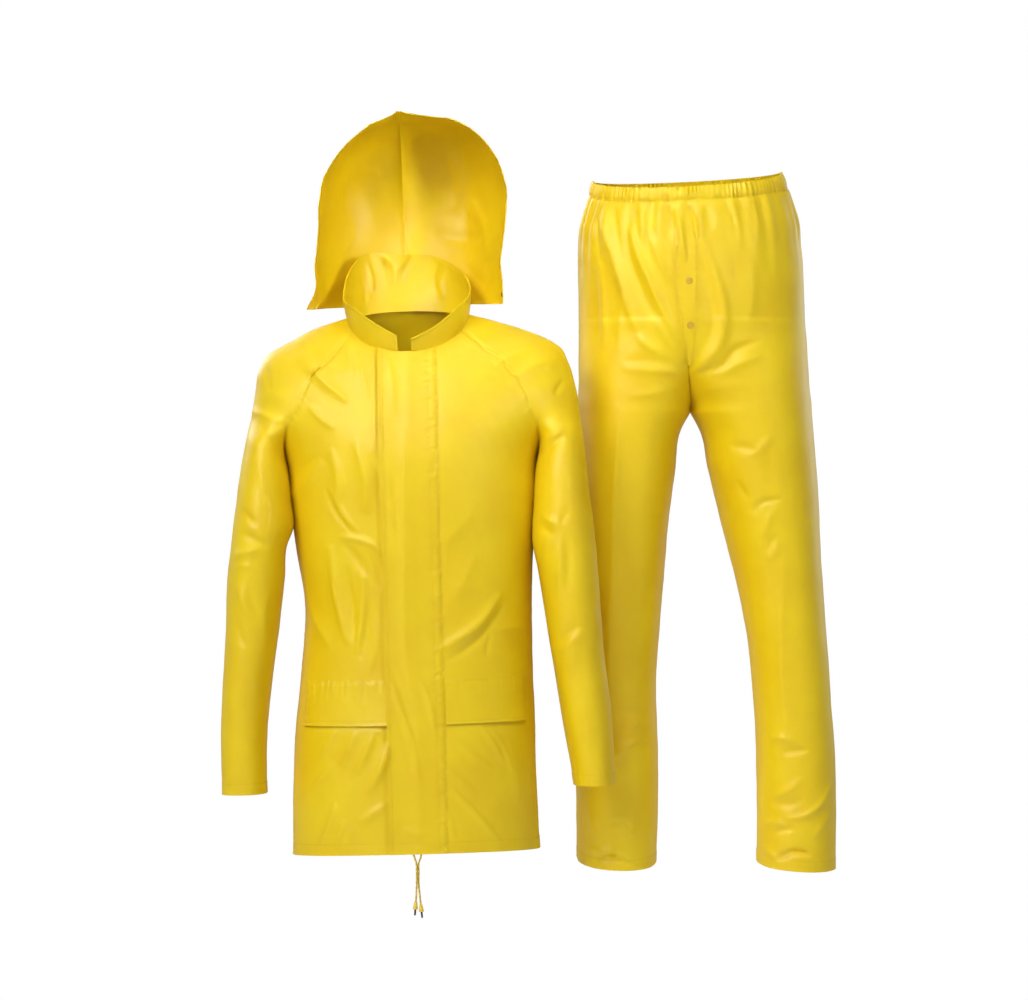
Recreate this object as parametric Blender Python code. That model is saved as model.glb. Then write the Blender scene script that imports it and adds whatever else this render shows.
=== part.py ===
"""A yellow rain suit, filled out with no wearer: a raglan jacket with a stand collar and a hood,
and trousers with a gathered waist. The origin is the middle of the neck at the shoulders, where a
wearer carries the jacket. Sizes are in millimetres until each mesh is made. The front faces -Y.
The wearer's right is at -X."""

from collections import namedtuple
from math import asin, cos, pi, radians, sin

import bmesh
import bpy
import numpy as np
from mathutils import Vector

# Driving sizes
MM = 0.001
WALL = 1.5
COLLAR_WALL = 2.0
SEAM_GAP = 0.3
JACKET_LEAN = radians(1.5)
TROUSER_DEPTH = 160.0
SQUARE = 2.2
DIP_CURVE = 1.25

# Rings of the jacket: half widths left and right of the zip, depths in front of and behind the
# middle, and how far the ring dips in front and rises behind
Ring = namedtuple("Ring", "height left right front back dip rise")
JACKET = [
    Ring(0, 91, 90, 87, 84, 55, 16),
    Ring(-14, 141, 144, 91, 95, 50, 12),
    Ring(-31, 176, 191, 96, 105, 43, 9),
    Ring(-50, 210, 225, 101, 112, 36, 6),
    Ring(-72, 225, 237, 106, 118, 29, 4),
    Ring(-100, 231, 246, 112, 123, 22, 2),
    Ring(-141, 223, 233, 120, 128, 12, 0),
    Ring(-175, 203, 208, 127, 131, 4, 0),
    Ring(-209, 188, 190, 132, 133, 0, 0),
    Ring(-270, 184, 186, 133, 133, 0, 0),
    Ring(-340, 177, 180, 131, 128, 0, 0),
    Ring(-430, 165, 175, 128, 120, 0, 0),
    Ring(-538, 175, 173, 130, 122, 0, 0),
    Ring(-605, 183, 174, 134, 128, 0, 0),
    Ring(-700, 190, 175, 137, 133, 0, 0),
    Ring(-800, 193, 177, 139, 136, -6, 0),
]
HEM_HEIGHT = -800.0
UNDERARM_HEIGHT = -209.0
POCKET_TOP, POCKET_BOTTOM = -538.0, -605.0
JACKET_ROWS = [row.height for row in JACKET[:9]] + [
    -235, -270, -305, -340, -380, -420, -460, -500, POCKET_TOP, -571, POCKET_BOTTOM,
    -640, -680, -720, -760, HEM_HEIGHT,
]

# Raglan seam, on the rings above the underarm: angles of the seam from the side of the ring, how
# far round its own ring the sleeve reaches, and the sleeve's outer edge and middle
Armhole = namedtuple("Armhole", "height front_seam back_seam reach right_edge left_edge middle")
ARMHOLE = [
    Armhole(0, 27.0, 27.0, 27.0, 91, 90, 0),
    Armhole(-14, 43.7, 46.0, 43.7, 141, 144, 0),
    Armhole(-31, 49.5, 51.9, 49.5, 176, 191, 0),
    Armhole(-50, 52.4, 54.5, 52.4, 210, 225, 0),
    Armhole(-72, 50.7, 52.9, 52.0, 225, 237, 0),
    Armhole(-100, 47.5, 48.0, 58.0, 231, 246, 0),
    Armhole(-141, 40.1, 38.0, 82.0, 238, 253, -4),
    Armhole(-175, 24.6, 18.0, 144.0, 246, 256, -10),
    Armhole(-209, 5.2, -5.2, 180.0, 252, 260, -15),
]

# Rings of the sleeves below the underarm, from the outer edge to the inner one
Tube = namedtuple("Tube", "height outer inner middle front back")
SLEEVE_RIGHT = [
    Tube(-209, 252, 187.4, -15, 82, 84),
    Tube(-235, 256, 187.0, -22, 81, 82),
    Tube(-270, 261, 185.6, -29, 79, 80),
    Tube(-310, 268, 184.0, -35, 77, 78),
    Tube(-340, 272, 189, -38, 75, 76),
    Tube(-380, 277, 192, -40, 73, 74),
    Tube(-460, 282, 203, -42, 68, 69),
    Tube(-540, 288, 215, -44, 62, 63),
    Tube(-620, 293, 225, -46, 56, 57),
    Tube(-704, 295, 227, -47, 52, 53),
]
SLEEVE_LEFT = [
    Tube(-209, 260, 189.4, -15, 82, 84),
    Tube(-235, 262, 189.0, -22, 81, 82),
    Tube(-270, 265, 187.6, -29, 79, 80),
    Tube(-310, 269, 185.0, -35, 77, 78),
    Tube(-340, 271, 182.8, -38, 75, 76),
    Tube(-380, 274, 184, -40, 73, 74),
    Tube(-460, 278, 195, -42, 68, 69),
    Tube(-540, 283, 206, -44, 62, 63),
    Tube(-620, 289, 217, -46, 56, 57),
    Tube(-704, 291, 231, -47, 52, 53),
]
SLEEVE_ROWS = [-235, -270, -310, -350, -390, -430, -475, -520, -565, -610, -655, -704]
SLEEVE_COLUMNS = [2, 3, 4, 5, 6, 7, 7, 7, 7]

# Collar: place round the neck in degrees from centre front by way of the wearer's right, height
# of its top edge over the neck seam, and how far that edge leans out
Stand = namedtuple("Stand", "around height lean")
COLLAR = [
    Stand(7, 23, 12),
    Stand(20, 33, 13),
    Stand(45, 45, 10),
    Stand(90, 39, 5),
    Stand(110, 62, 5),
    Stand(132, 84, 6),
    Stand(180, 83, 7),
    Stand(204, 81, 7),
    Stand(220, 72, 6),
    Stand(245, 57, 5),
    Stand(270, 41, 4),
    Stand(315, 44, 10),
    Stand(340, 30, 13),
    Stand(357, 18, 12),
]
COLLAR_SWELL, COLLAR_CURVE = 0.05, 1.3

# Hood: sections from the neck to the peak. Each runs from the centre seam behind to the rim.
Arch = namedtuple("Arch", "right left rim_height rim_depth seam_depth seam_height square")
HOOD = [
    Arch(152, 143, 15, -12, 87.2, 20, 1.88),
    Arch(137, 143, 42, -16, 110, 52, 1.9),
    Arch(135, 142, 88, -20, 134, 98, 2.1),
    Arch(131, 149, 138, -22, 147, 148, 2.2),
    Arch(126, 152, 188, -24, 147, 198, 2.2),
    Arch(112, 144, 224, -26, 132, 243, 2.1),
    Arch(84, 121, 260, -28, 100, 281, 2.0),
    Arch(50, 84, 287, -29, 55, 303, 2.0),
    Arch(22, 38, 301, -30, 10, 309, 2.0),
    Arch(6, -6, 306, -31, -31, 306, 2.0),
]
HOOD_SEAM = -6.0
HOOD_COLUMNS = [8, 8, 8, 8, 8, 8, 7, 6, 3, 0]

# Front closing: half widths of the storm flap and of the zip strip
STORM_FLAP_HALF = 43.0
ZIP_HALF = 6.0
SIDE_STEPS = (0.0, 0.25, 0.42, 0.57, 0.71, 0.85, 1.0)
POCKET_COLUMN = 1
BACK_COLUMNS = 16

# Trousers: rings from the waist to the crotch, then the depth of the centre seam
Hips = namedtuple("Hips", "height left right middle front back seam_front seam_back dip roll")
HIPS = [
    Hips(224, 279, 571, 421, 112, 112, 112, 112, 24, 0.048),
    Hips(200, 274, 581, 421, 115, 115, 115, 115, 22, 0.045),
    Hips(178, 267, 589, 420, 119, 120, 119, 120, 18, 0.040),
    Hips(150, 260, 597, 420, 124, 127, 124, 127, 12, 0.030),
    Hips(118, 258, 600, 420, 127, 132, 127, 132, 8, 0.020),
    Hips(80, 258, 604, 420, 128, 135, 128, 135, 4, 0.010),
    Hips(40, 258, 606, 420, 128, 136, 128, 136, 0, 0.0),
    Hips(0, 258, 607, 420, 127, 136, 127, 136, 0, 0.0),
    Hips(-44, 258, 610, 421, 122, 131, 118, 129, 0, 0.0),
    Hips(-79, 258, 612, 424, 120, 128, 98, 112, 0, 0.0),
    Hips(-105, 258, 614, 427, 119, 126, 72, 84, 0, 0.0),
    Hips(-125, 257, 616, 430, 118, 124, 38, 45, 0, 0.0),
    Hips(-140, 257, 617, 430, 118, 124, 0, 0, 0, 0.0),
]
CROTCH_HEIGHT = -140.0

# Legs: rings from the crotch to the hem
Leg = namedtuple("Leg", "height outer inner middle front back dip roll")
LEG_RIGHT = [
    Leg(-140, 257, 429.8, 0, 118, 124, 0, 0.0),
    Leg(-165, 257, 417, 0, 116, 122, 0, 0.0),
    Leg(-228, 256, 407, -3, 109, 114, 0, 0.0),
    Leg(-321, 256, 395, -6, 100, 103, 0, 0.0),
    Leg(-444, 256, 385, -8, 90, 92, 0, 0.0),
    Leg(-567, 256, 378, -6, 83, 85, 0, 0.0),
    Leg(-690, 254, 381, -4, 79, 81, 0, 0.0),
    Leg(-826, 256, 378, -2, 77, 79, 12, -0.03),
]
LEG_LEFT = [
    Leg(-140, 617, 430.2, 0, 118, 124, 0, 0.0),
    Leg(-165, 619, 444, 0, 116, 122, 0, 0.0),
    Leg(-228, 624, 458, -3, 109, 114, 0, 0.0),
    Leg(-321, 629, 481, -6, 100, 103, 0, 0.0),
    Leg(-444, 636, 510, -8, 90, 92, 0, 0.0),
    Leg(-567, 646, 526, -6, 83, 85, 0, 0.0),
    Leg(-690, 653, 533, -4, 79, 81, 0, 0.0),
    Leg(-833, 654, 532, -2, 77, 79, 7, -0.07),
]
WAISTBAND_BOTTOM = 200.0
HIP_ROWS = [WAISTBAND_BOTTOM, 183, 158, 122, 80, 40, 0, -44, -79, -105, -125, CROTCH_HEIGHT]
HIP_COLUMNS = [36, 36, 18, 9, 9, 9, 9, 9, 9, 9, 9, 9]
LEG_STEPS = 16
LEG_COLUMNS = 9

# Gathers of the elastic waist: waves all round, and how deep they are at each height
WAIST_WAVES, BROAD_WAVES = 72, 18
WAIST_SQUASH = 0.75
Gather = namedtuple("Gather", "height fine broad")
GATHERS = [
    Gather(224, 1.5, 0.0),
    Gather(200, 1.7, 0.5),
    Gather(183, 1.2, 1.5),
    Gather(158, 0.0, 2.6),
    Gather(118, 0.0, 1.6),
    Gather(60, 0.0, 0.0),
]

# Fly: strip over the centre front seam of the trousers, with its edges from that seam
Fly = namedtuple("Fly", "height right_edge left_edge")
FLY = [
    Fly(183, -18, 18),
    Fly(158, -18, 18),
    Fly(122, -18, 18),
    Fly(80, -19, 18),
    Fly(59, -17.5, 18),
    Fly(40, -16, 18),
    Fly(0, -12, 17),
    Fly(-10, -11, 16.5),
    Fly(-44, -7, 13),
    Fly(-70, -4, 7),
]
FLY_LIFT = 1.9
SNAP_PLACES = {"snap_upper": (3.0, 59.0), "snap_lower": (5.0, -10.0)}
SNAP_RADIUS, SNAP_CREST, SNAP_THICKNESS, SNAP_SEAT = 5.5, 4.4, 2.4, 0.4

# Largest folds, as soft ridges (+) and troughs (-) along a line on the front or the back
Fold = namedtuple("Fold", "x1 z1 x2 z2 width depth")
JACKET_FRONT_FOLDS = [
    Fold(-158, -245, -96, -345, 20, 3.5),
    Fold(-160, -290, -100, -390, 18, -3),
    Fold(158, -250, 98, -350, 20, 3.5),
    Fold(160, -295, 100, -395, 18, -3),
    Fold(-145, -425, -58, -442, 22, -3),
    Fold(148, -430, 60, -446, 22, -3),
    Fold(-142, -478, -62, -502, 18, 2.5),
    Fold(145, -480, 64, -504, 18, 2.5),
    Fold(-158, -628, -75, -704, 20, 3.5),
    Fold(-148, -668, -65, -738, 18, -3),
    Fold(148, -624, 70, -704, 20, 3.5),
    Fold(146, -664, 62, -742, 18, -3),
    Fold(-272, -332, -208, -366, 18, -4),
    Fold(-282, -396, -218, -426, 18, 3.5),
    Fold(-282, -458, -220, -484, 18, -3.5),
    Fold(-286, -566, -232, -604, 18, 3),
    Fold(270, -330, 202, -362, 18, -4),
    Fold(276, -394, 208, -424, 18, 3.5),
    Fold(278, -460, 214, -486, 18, -3.5),
    Fold(284, -570, 226, -606, 18, 3),
]
JACKET_BACK_FOLDS = [
    Fold(-150, -248, -62, -338, 20, 3.5),
    Fold(152, -252, 66, -342, 20, 3.5),
    Fold(-122, -430, 118, -438, 24, -3.5),
    Fold(-110, -484, 104, -492, 20, 2.5),
    Fold(-150, -640, -42, -738, 20, 3.5),
    Fold(140, -622, 58, -734, 20, 3),
    Fold(-268, -340, -214, -372, 18, -3.5),
    Fold(-280, -430, -222, -462, 18, 3),
    Fold(266, -342, 206, -376, 18, -3.5),
    Fold(274, -436, 212, -468, 18, 3),
]
TROUSER_FRONT_FOLDS = [
    Fold(452, 112, 471, 16, 14, -4),
    Fold(471, 14, 446, -62, 14, -4),
    Fold(330, 44, 398, -44, 18, 4),
    Fold(300, -14, 392, -84, 18, -4),
    Fold(528, 30, 470, -70, 18, 3.5),
    Fold(300, -168, 384, -214, 18, 3.5),
    Fold(532, -186, 560, -360, 16, -4),
    Fold(566, -400, 616, -436, 18, 3.5),
    Fold(290, -380, 356, -414, 18, -3.5),
    Fold(284, -604, 350, -628, 16, 3.5),
    Fold(284, -648, 352, -670, 16, -3.5),
    Fold(560, -620, 626, -646, 16, 3),
    Fold(280, -784, 344, -796, 16, 3),
    Fold(556, -790, 628, -784, 16, 3),
]
TROUSER_BACK_FOLDS = [
    Fold(318, 20, 392, -66, 18, 3.5),
    Fold(548, 22, 466, -70, 18, 3.5),
    Fold(292, -330, 360, -364, 18, -4),
    Fold(550, -336, 616, -366, 18, -4),
    Fold(290, -394, 356, -424, 18, 3.5),
    Fold(560, -398, 620, -428, 18, 3.5),
    Fold(284, -640, 350, -664, 16, 3),
    Fold(566, -644, 632, -662, 16, 3),
]

# Drawcord of the hem: its two free ends, each with a stop and a tip
CORD_DIAMETER = 2.8
HEM_CORDS = {
    "right": [(-9.0, -138.2, -794.4), (-7.5, -138.6, -799), (-5.4, -139.0, -806), (-5.0, -139.4, -820),
              (-5.6, -139.4, -838), (-6.4, -139.2, -852), (-7.4, -139.0, -863)],
    "left": [(2.3, -138.2, -794.4), (1.4, -138.0, -799), (-1.6, -137.2, -806), (-2.2, -136.4, -820),
             (-2.6, -136.2, -838), (-1.6, -136.4, -852), (-0.4, -136.6, -867)],
}
BELL_LENGTH, BELL_NECK, BELL_MOUTH = 11.0, 2.2, 3.8
TIP_LENGTH, TIP_RADIUS = 9.0, 1.5
TURNED_SIDES = 10

YELLOW = (0.93, 0.62, 0.02, 1.0)
DEEP_YELLOW = (0.80, 0.50, 0.02, 1.0)
DARK = (0.08, 0.07, 0.05, 1.0)


def curve_through(places, values, place):
    """Value at a place on the smooth curve through the table's values."""
    step = np.diff(places)
    rate = np.diff(values, axis=0) / step[:, None]
    inner = (rate[:-1] * step[1:, None] + rate[1:] * step[:-1, None]) / (step[:-1] + step[1:])[:, None]
    slope = np.vstack([rate[:1], inner, rate[-1:]])
    i = int(np.clip(np.searchsorted(places, place, side="right") - 1, 0, len(step) - 1))
    t = (place - places[i]) / step[i]
    return (
        (2 * t**3 - 3 * t**2 + 1) * values[i]
        + (t**3 - 2 * t**2 + t) * step[i] * slope[i]
        + (3 * t**2 - 2 * t**3) * values[i + 1]
        + (t**3 - t**2) * step[i] * slope[i + 1]
    )


def row_at(table, place):
    """The table's row at any place of its first column."""
    values = np.array(table, float)
    values = values[np.argsort(values[:, 0])]
    place = float(np.clip(place, values[0, 0], values[-1, 0]))
    return type(table[0])(*curve_through(values[:, 0], values, place))


def power(value):
    """Signed power that squares off a circle's sine or cosine."""
    return np.sign(value) * np.abs(value) ** (2 / SQUARE)


def angle_at(ring, x):
    """Angle on the front of a jacket ring at a place across it."""
    centre, half = (ring.right - ring.left) / 2, (ring.right + ring.left) / 2
    across = (centre - x) / half
    return np.arccos(np.sign(across) * np.abs(across) ** (SQUARE / 2))


def ring_height(ring, y):
    """Height of a jacket ring over a place from front to back."""
    fore = np.clip(-y / ring.front, 0, None) ** DIP_CURVE
    aft = np.clip(y / ring.back, 0, None) ** DIP_CURVE
    return ring.height - ring.dip * fore + ring.rise * aft


def jacket(angle, height):
    """Points of the jacket's body: angle 0 at the wearer's right, 90 degrees in front."""
    ring = row_at(JACKET, height)
    centre, half = (ring.right - ring.left) / 2, (ring.right + ring.left) / 2
    x = centre - half * power(np.cos(angle))
    swing = power(np.sin(angle))
    y = np.where(swing > 0, -ring.front * swing, -ring.back * swing)
    return np.stack([x, y, ring_height(ring, y)], axis=-1)


def armhole_seams(side, height):
    """Angles of the front and the back raglan seam, or of the side seam below the underarm."""
    hole = row_at(ARMHOLE, height)
    front, back = radians(hole.front_seam), radians(hole.back_seam)
    return (front, -back) if side == "right" else (pi - front, pi + back)


def sleeve(side, place, height):
    """Points of a sleeve: place -1 at its front seam, 0 at the outer edge and 1 at its back seam."""
    sign = -1 if side == "right" else 1
    if height <= UNDERARM_HEIGHT:
        tube = row_at(SLEEVE_RIGHT if side == "right" else SLEEVE_LEFT, height)
        half = (tube.outer - tube.inner) / 2
        angle = pi * np.asarray(place, float)
        swing = power(np.sin(angle))
        x = sign * (tube.outer - half * (1 - power(np.cos(angle))))
        y = tube.middle + np.where(swing < 0, tube.front, tube.back) * swing
        return np.stack([x, y, np.full_like(x, tube.height)], axis=-1)
    hole = row_at(ARMHOLE, height)
    edge = hole.right_edge if side == "right" else hole.left_edge
    seams = [jacket(np.array([angle]), height)[0] for angle in armhole_seams(side, height)]
    reach = radians(hole.reach)
    angle = reach * np.asarray(place, float)
    spans = [(edge - sign * seam[0]) / (1 - power(cos(reach))) for seam in seams]
    depths = [abs(seam[1] - hole.middle) / power(sin(reach)) for seam in seams]
    front = angle < 0
    x = sign * (edge - np.where(front, spans[0], spans[1]) * (1 - power(np.cos(angle))))
    y = hole.middle + np.where(front, depths[0], depths[1]) * power(np.sin(angle))
    return np.stack([x, y, ring_height(row_at(JACKET, height), y)], axis=-1)


def collar(around, up):
    """Points of the collar: degrees round the neck from centre front, and 0 to 1 up its height."""
    neck = JACKET[0]
    angle = pi / 2 - np.radians(around)
    base = jacket(angle, neck.height)
    ahead = jacket(angle + 0.01, neck.height) - base
    out = np.stack([ahead[:, 1], -ahead[:, 0]], axis=-1)
    out /= np.linalg.norm(out, axis=1)[:, None]
    stand = [row_at(COLLAR, place) for place in np.atleast_1d(around)]
    height = np.array([row.height for row in stand])
    lean = np.array([row.lean for row in stand])
    away = lean * up**COLLAR_CURVE + COLLAR_SWELL * height * sin(pi * up)
    points = base.copy()
    points[:, :2] += out * away[:, None]
    points[:, 2] += SEAM_GAP + height * up
    return points


def hood(side, place, row):
    """Points of a hood half: place 0 at the centre seam and 1 at the rim, row 0 at the neck."""
    names = np.arange(len(HOOD), dtype=float)
    arch = Arch(*curve_through(names, np.array(HOOD, float), float(np.clip(row, 0, len(HOOD) - 1))))
    edge = -arch.right if side == "right" else arch.left
    angle = np.asarray(place, float) * pi / 2
    squash = 2 / arch.square
    x = HOOD_SEAM + (edge - HOOD_SEAM) * np.abs(np.sin(angle)) ** squash
    back = np.abs(np.cos(angle)) ** squash
    y = arch.rim_depth + (arch.seam_depth - arch.rim_depth) * back
    z = arch.rim_height + (arch.seam_height - arch.rim_height) * np.abs(np.cos(angle))
    return np.stack([x, y, z], axis=-1)


def trousers(side, place, height):
    """Points of a trouser half: place -1 at the front seam, 0 at the side, 1 at the back seam."""
    place = np.asarray(place, float)
    if height <= CROTCH_HEIGHT:
        leg = row_at(LEG_RIGHT if side == "right" else LEG_LEFT, height)
        outer, seam_x, middle, front, back = leg.outer, leg.inner, leg.middle, leg.front, leg.back
        reaches = (pi, pi)
    else:
        leg = row_at(HIPS, height)
        outer = leg.left if side == "right" else leg.right
        seam_x, middle, front, back = leg.middle, 0.0, leg.front, leg.back
        reaches = [
            pi - asin(min(1.0, seam / depth) ** (SQUARE / 2))
            for seam, depth in ((leg.seam_front, front), (leg.seam_back, back))
        ]
    reach = np.where(place < 0, reaches[0], reaches[1])
    angle = reach * place
    span = (seam_x - outer) / (1 - power(np.cos(reach)))
    x = outer + span * (1 - power(np.cos(angle)))
    y = middle + np.where(place < 0, front, back) * power(np.sin(angle))
    centre = (HIPS[0].left + HIPS[0].right) / 2 if height > CROTCH_HEIGHT else (outer + seam_x) / 2
    z = leg.height - leg.dip * np.clip(-y / front, 0, None) + leg.roll * (x - centre)
    return np.stack([x, y + TROUSER_DEPTH, z], axis=-1)


def fold_height(points, normals, front_folds, back_folds):
    """How far the largest folds raise or sink each point."""
    raised = np.zeros(len(points))
    flat = points[:, [0, 2]]
    for folds, facing in ((front_folds, -normals[:, 1]), (back_folds, normals[:, 1])):
        for fold in folds:
            start = np.array([fold.x1, fold.z1])
            run = np.array([fold.x2, fold.z2]) - start
            along = np.clip((flat - start) @ run / (run @ run), 0, 1)
            aside = np.linalg.norm(flat - start - along[:, None] * run, axis=1)
            taper = np.sqrt(np.sin(pi * along))
            raised += fold.depth * np.exp(-((aside / fold.width) ** 2)) * taper * np.clip(facing, 0, 1)
    return raised


def jacket_relief(points, normals):
    """How far the jacket's folds raise or sink each point."""
    return fold_height(points, normals, JACKET_FRONT_FOLDS, JACKET_BACK_FOLDS)


def trouser_relief(points, normals):
    """How far the trousers' folds and gathers raise or sink each point."""
    return fold_height(points, normals, TROUSER_FRONT_FOLDS, TROUSER_BACK_FOLDS) + gather_height(points)


def gather_height(points):
    """How far the waist's gathers raise or sink points of the trousers."""
    raised = []
    for x, y, z in points:
        turn = np.arctan2(y - TROUSER_DEPTH, (x - HIPS[0].middle) * WAIST_SQUASH)
        depth = row_at(GATHERS, z)
        raised.append(depth.fine * cos(WAIST_WAVES * turn) + depth.broad * cos(BROAD_WAVES * turn))
    return np.array(raised)


def face_out(surface, places, row, row_step, inside):
    """Points of a surface and its outward normals at places along one row."""
    points = surface(places, row)
    step = 0.002 * max(np.ptp(places), 0.1)
    across = surface(places + step, row) - surface(places - step, row)
    down = surface(places, row + row_step) - surface(places, row - row_step)
    normals = np.cross(across, down)
    normals /= np.maximum(np.linalg.norm(normals, axis=1), 1e-9)[:, None]
    outward = np.sum((points - inside(points)) * normals, axis=1) > 0
    return points, np.where(outward[:, None], normals, -normals)


def move_end(points, amount, end):
    """Moves the first or last point of a row towards its neighbour."""
    if len(points) < 2 or not amount:
        return
    here, there = (0, 1) if end == "first" else (-1, -2)
    gap = points[there] - points[here]
    points[here] += amount * gap / max(np.linalg.norm(gap), 1e-9)


def place_vertices(bm, rows):
    """Vertices of each row. A row that ends where it began is closed."""
    made = []
    for row in rows:
        verts = [bm.verts.new(point * MM) for point in row[:-1]]
        closed = len(row) > 2 and np.allclose(row[0], row[-1], atol=1e-6)
        verts.append(verts[0] if closed else bm.verts.new(row[-1] * MM))
        made.append(verts)
    return made


def bridge(bm, first, second):
    """Triangles between two rows, which may have different numbers of points."""
    i = j = 0
    while i < len(first) - 1 or j < len(second) - 1:
        ahead_i = (i + 1) / max(len(first) - 1, 1e-9) if i < len(first) - 1 else 2
        ahead_j = (j + 1) / max(len(second) - 1, 1e-9) if j < len(second) - 1 else 2
        if ahead_i < ahead_j:
            corners = (first[i], first[i + 1], second[j])
            i += 1
        else:
            corners = (first[i], second[j + 1], second[j])
            j += 1
        if len(set(corners)) == 3 and bm.faces.get(corners) is None:
            bm.faces.new(corners)


def make_material(name, colour, roughness=0.35):
    """A plain finish of one colour."""
    material = bpy.data.materials.new(name)
    material.use_nodes = True
    shader = material.node_tree.nodes["Principled BSDF"]
    shader.inputs["Base Color"].default_value = colour
    shader.inputs["Roughness"].default_value = roughness
    shader.inputs["Metallic"].default_value = 0.0
    return material


def add_object(name, bm, colour, roughness=0.35):
    """One named object with its own material from a bmesh."""
    bmesh.ops.recalc_face_normals(bm, faces=bm.faces)
    mesh = bpy.data.meshes.new(name)
    bm.to_mesh(mesh)
    bm.free()
    mesh.shade_smooth()
    mesh.set_sharp_from_angle(angle=radians(50))
    mesh.materials.append(make_material(name + "_finish", colour, roughness))
    made = bpy.data.objects.new(name, mesh)
    bpy.data.collections["rain_suit"].objects.link(made)
    return made


def leaned(points):
    """The jacket's points turned by its lean, about the neck."""
    x, z = points[:, 0].copy(), points[:, 2].copy()
    turned = points.copy()
    turned[:, 0] = x * cos(JACKET_LEAN) - z * sin(JACKET_LEAN)
    turned[:, 2] = x * sin(JACKET_LEAN) + z * cos(JACKET_LEAN)
    return turned


def add_wall(name, outer, inner):
    """A closed wall between an outer and an inner set of rows."""
    bm = bmesh.new()
    outside, within = place_vertices(bm, outer), place_vertices(bm, inner)
    for sheet in (outside, within):
        for above, below in zip(sheet, sheet[1:]):
            bridge(bm, above, below)
    bridge(bm, outside[0], within[0])
    bridge(bm, outside[-1], within[-1])
    for side in (0, -1):
        for i in range(len(outside) - 1):
            upper, lower = outside[i], outside[i + 1]
            if len(upper) > 1 and upper[0] is upper[-1] and lower[0] is lower[-1]:
                continue
            bridge(bm, [upper[side], lower[side]], [within[i][side], within[i + 1][side]])
    bmesh.ops.remove_doubles(bm, verts=bm.verts, dist=1e-6)
    return add_object(name, bm, YELLOW)


def add_panel(name, surface, rows, columns, inside, lift=0.0, wall=WALL, ends=(1, 1, 1, 1),
              relief=jacket_relief, place=leaned, row_step=0.5):
    """A cloth panel: ends are the seam gaps at its first and last column and its top and bottom."""
    outer, inner = [], []
    for row, places in zip(rows, columns):
        points, normals = face_out(surface, places, row, row_step, inside)
        closed = np.allclose(points[0], points[-1], atol=1e-6)
        if closed and len(points) > 1:
            points[-1] = points[0]
            shared = normals[0] + normals[-1]
            normals[0] = normals[-1] = shared / np.linalg.norm(shared)
        shell = points + (lift + relief(points, normals))[:, None] * normals
        if not closed:
            move_end(shell, ends[0] * SEAM_GAP / 2, "first")
            move_end(shell, ends[1] * SEAM_GAP / 2, "last")
        outer.append(shell)
        inner.append(shell - wall * normals)
    for gap, edge, beside in ((ends[2], 0, 1), (ends[3], -1, -2)):
        if gap and len(outer[edge]) == len(outer[beside]):
            run = outer[beside] - outer[edge]
            shift = gap * SEAM_GAP / 2 * run / np.maximum(np.linalg.norm(run, axis=1), 1e-9)[:, None]
            outer[edge] = outer[edge] + shift
            inner[edge] = inner[edge] + shift
    outer = [place(row) for row in outer]
    inner = [place(row) for row in inner]
    return add_wall(name, outer, inner)


def trunk_axis(points):
    """Points inside the jacket's body, one beside each point."""
    return points * np.array([0.0, 0.0, 1.0]) + np.array([0.0, 0.0, -20.0])


def front_angles(height):
    """Angles of the front's columns, from the wearer's right seam to the left one."""
    ring = row_at(JACKET, height)
    right, left = armhole_seams("right", height)[0], armhole_seams("left", height)[0]
    middle = [angle_at(ring, x) for x in (-STORM_FLAP_HALF, -STORM_FLAP_HALF / 2 - ZIP_HALF / 2, -ZIP_HALF,
                                          ZIP_HALF, STORM_FLAP_HALF / 2 + ZIP_HALF / 2, STORM_FLAP_HALF)]
    steps = np.array(SIDE_STEPS)
    first = right + (middle[0] - right) * steps
    last = left + (middle[-1] - left) * steps[::-1]
    return np.concatenate([first, middle[1:-1], last])


def back_angles(height):
    """Angles of the back's columns, from the wearer's left seam to the right one."""
    start = armhole_seams("left", height)[1]
    end = armhole_seams("right", height)[1] + 2 * pi
    return np.linspace(start, end, BACK_COLUMNS + 1)


def build_jacket_body():
    """The fronts, the back, the zip strip, and the flaps that lie on the fronts."""
    fronts = [front_angles(height) for height in JACKET_ROWS]
    flap, left_flap = len(SIDE_STEPS) - 1, len(SIDE_STEPS) + 4
    zip_right, zip_left = flap + 2, flap + 3
    pieces = {
        "jacket_front_right": (0, zip_right),
        "front_zip": (zip_right, zip_left),
        "jacket_front_left": (zip_left, len(fronts[0]) - 1),
    }
    for name, (first, last) in pieces.items():
        columns = [angles[first:last + 1] for angles in fronts]
        add_panel(name, jacket, JACKET_ROWS, columns, trunk_axis, ends=(1, 1, 0, 0))
    backs = [back_angles(height) for height in JACKET_ROWS]
    add_panel("jacket_back", jacket, JACKET_ROWS, backs, trunk_axis, ends=(1, 1, 0, 0))
    lift = SEAM_GAP + WALL
    columns = [angles[flap:left_flap + 1] for angles in fronts]
    add_panel("storm_flap", jacket, JACKET_ROWS, columns, trunk_axis, lift=lift, ends=(1, 1, 2, 0))
    rows = [height for height in JACKET_ROWS if POCKET_BOTTOM <= height <= POCKET_TOP]
    chosen = [angles for height, angles in zip(JACKET_ROWS, fronts) if height in rows]
    last = len(fronts[0]) - 1 - POCKET_COLUMN
    for name, first, end in (("pocket_flap_right", POCKET_COLUMN, flap), ("pocket_flap_left", left_flap, last)):
        columns = [angles[first:end + 1] for angles in chosen]
        add_panel(name, jacket, rows, columns, trunk_axis, lift=lift, ends=(1, 1, 0, 0))


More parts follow.
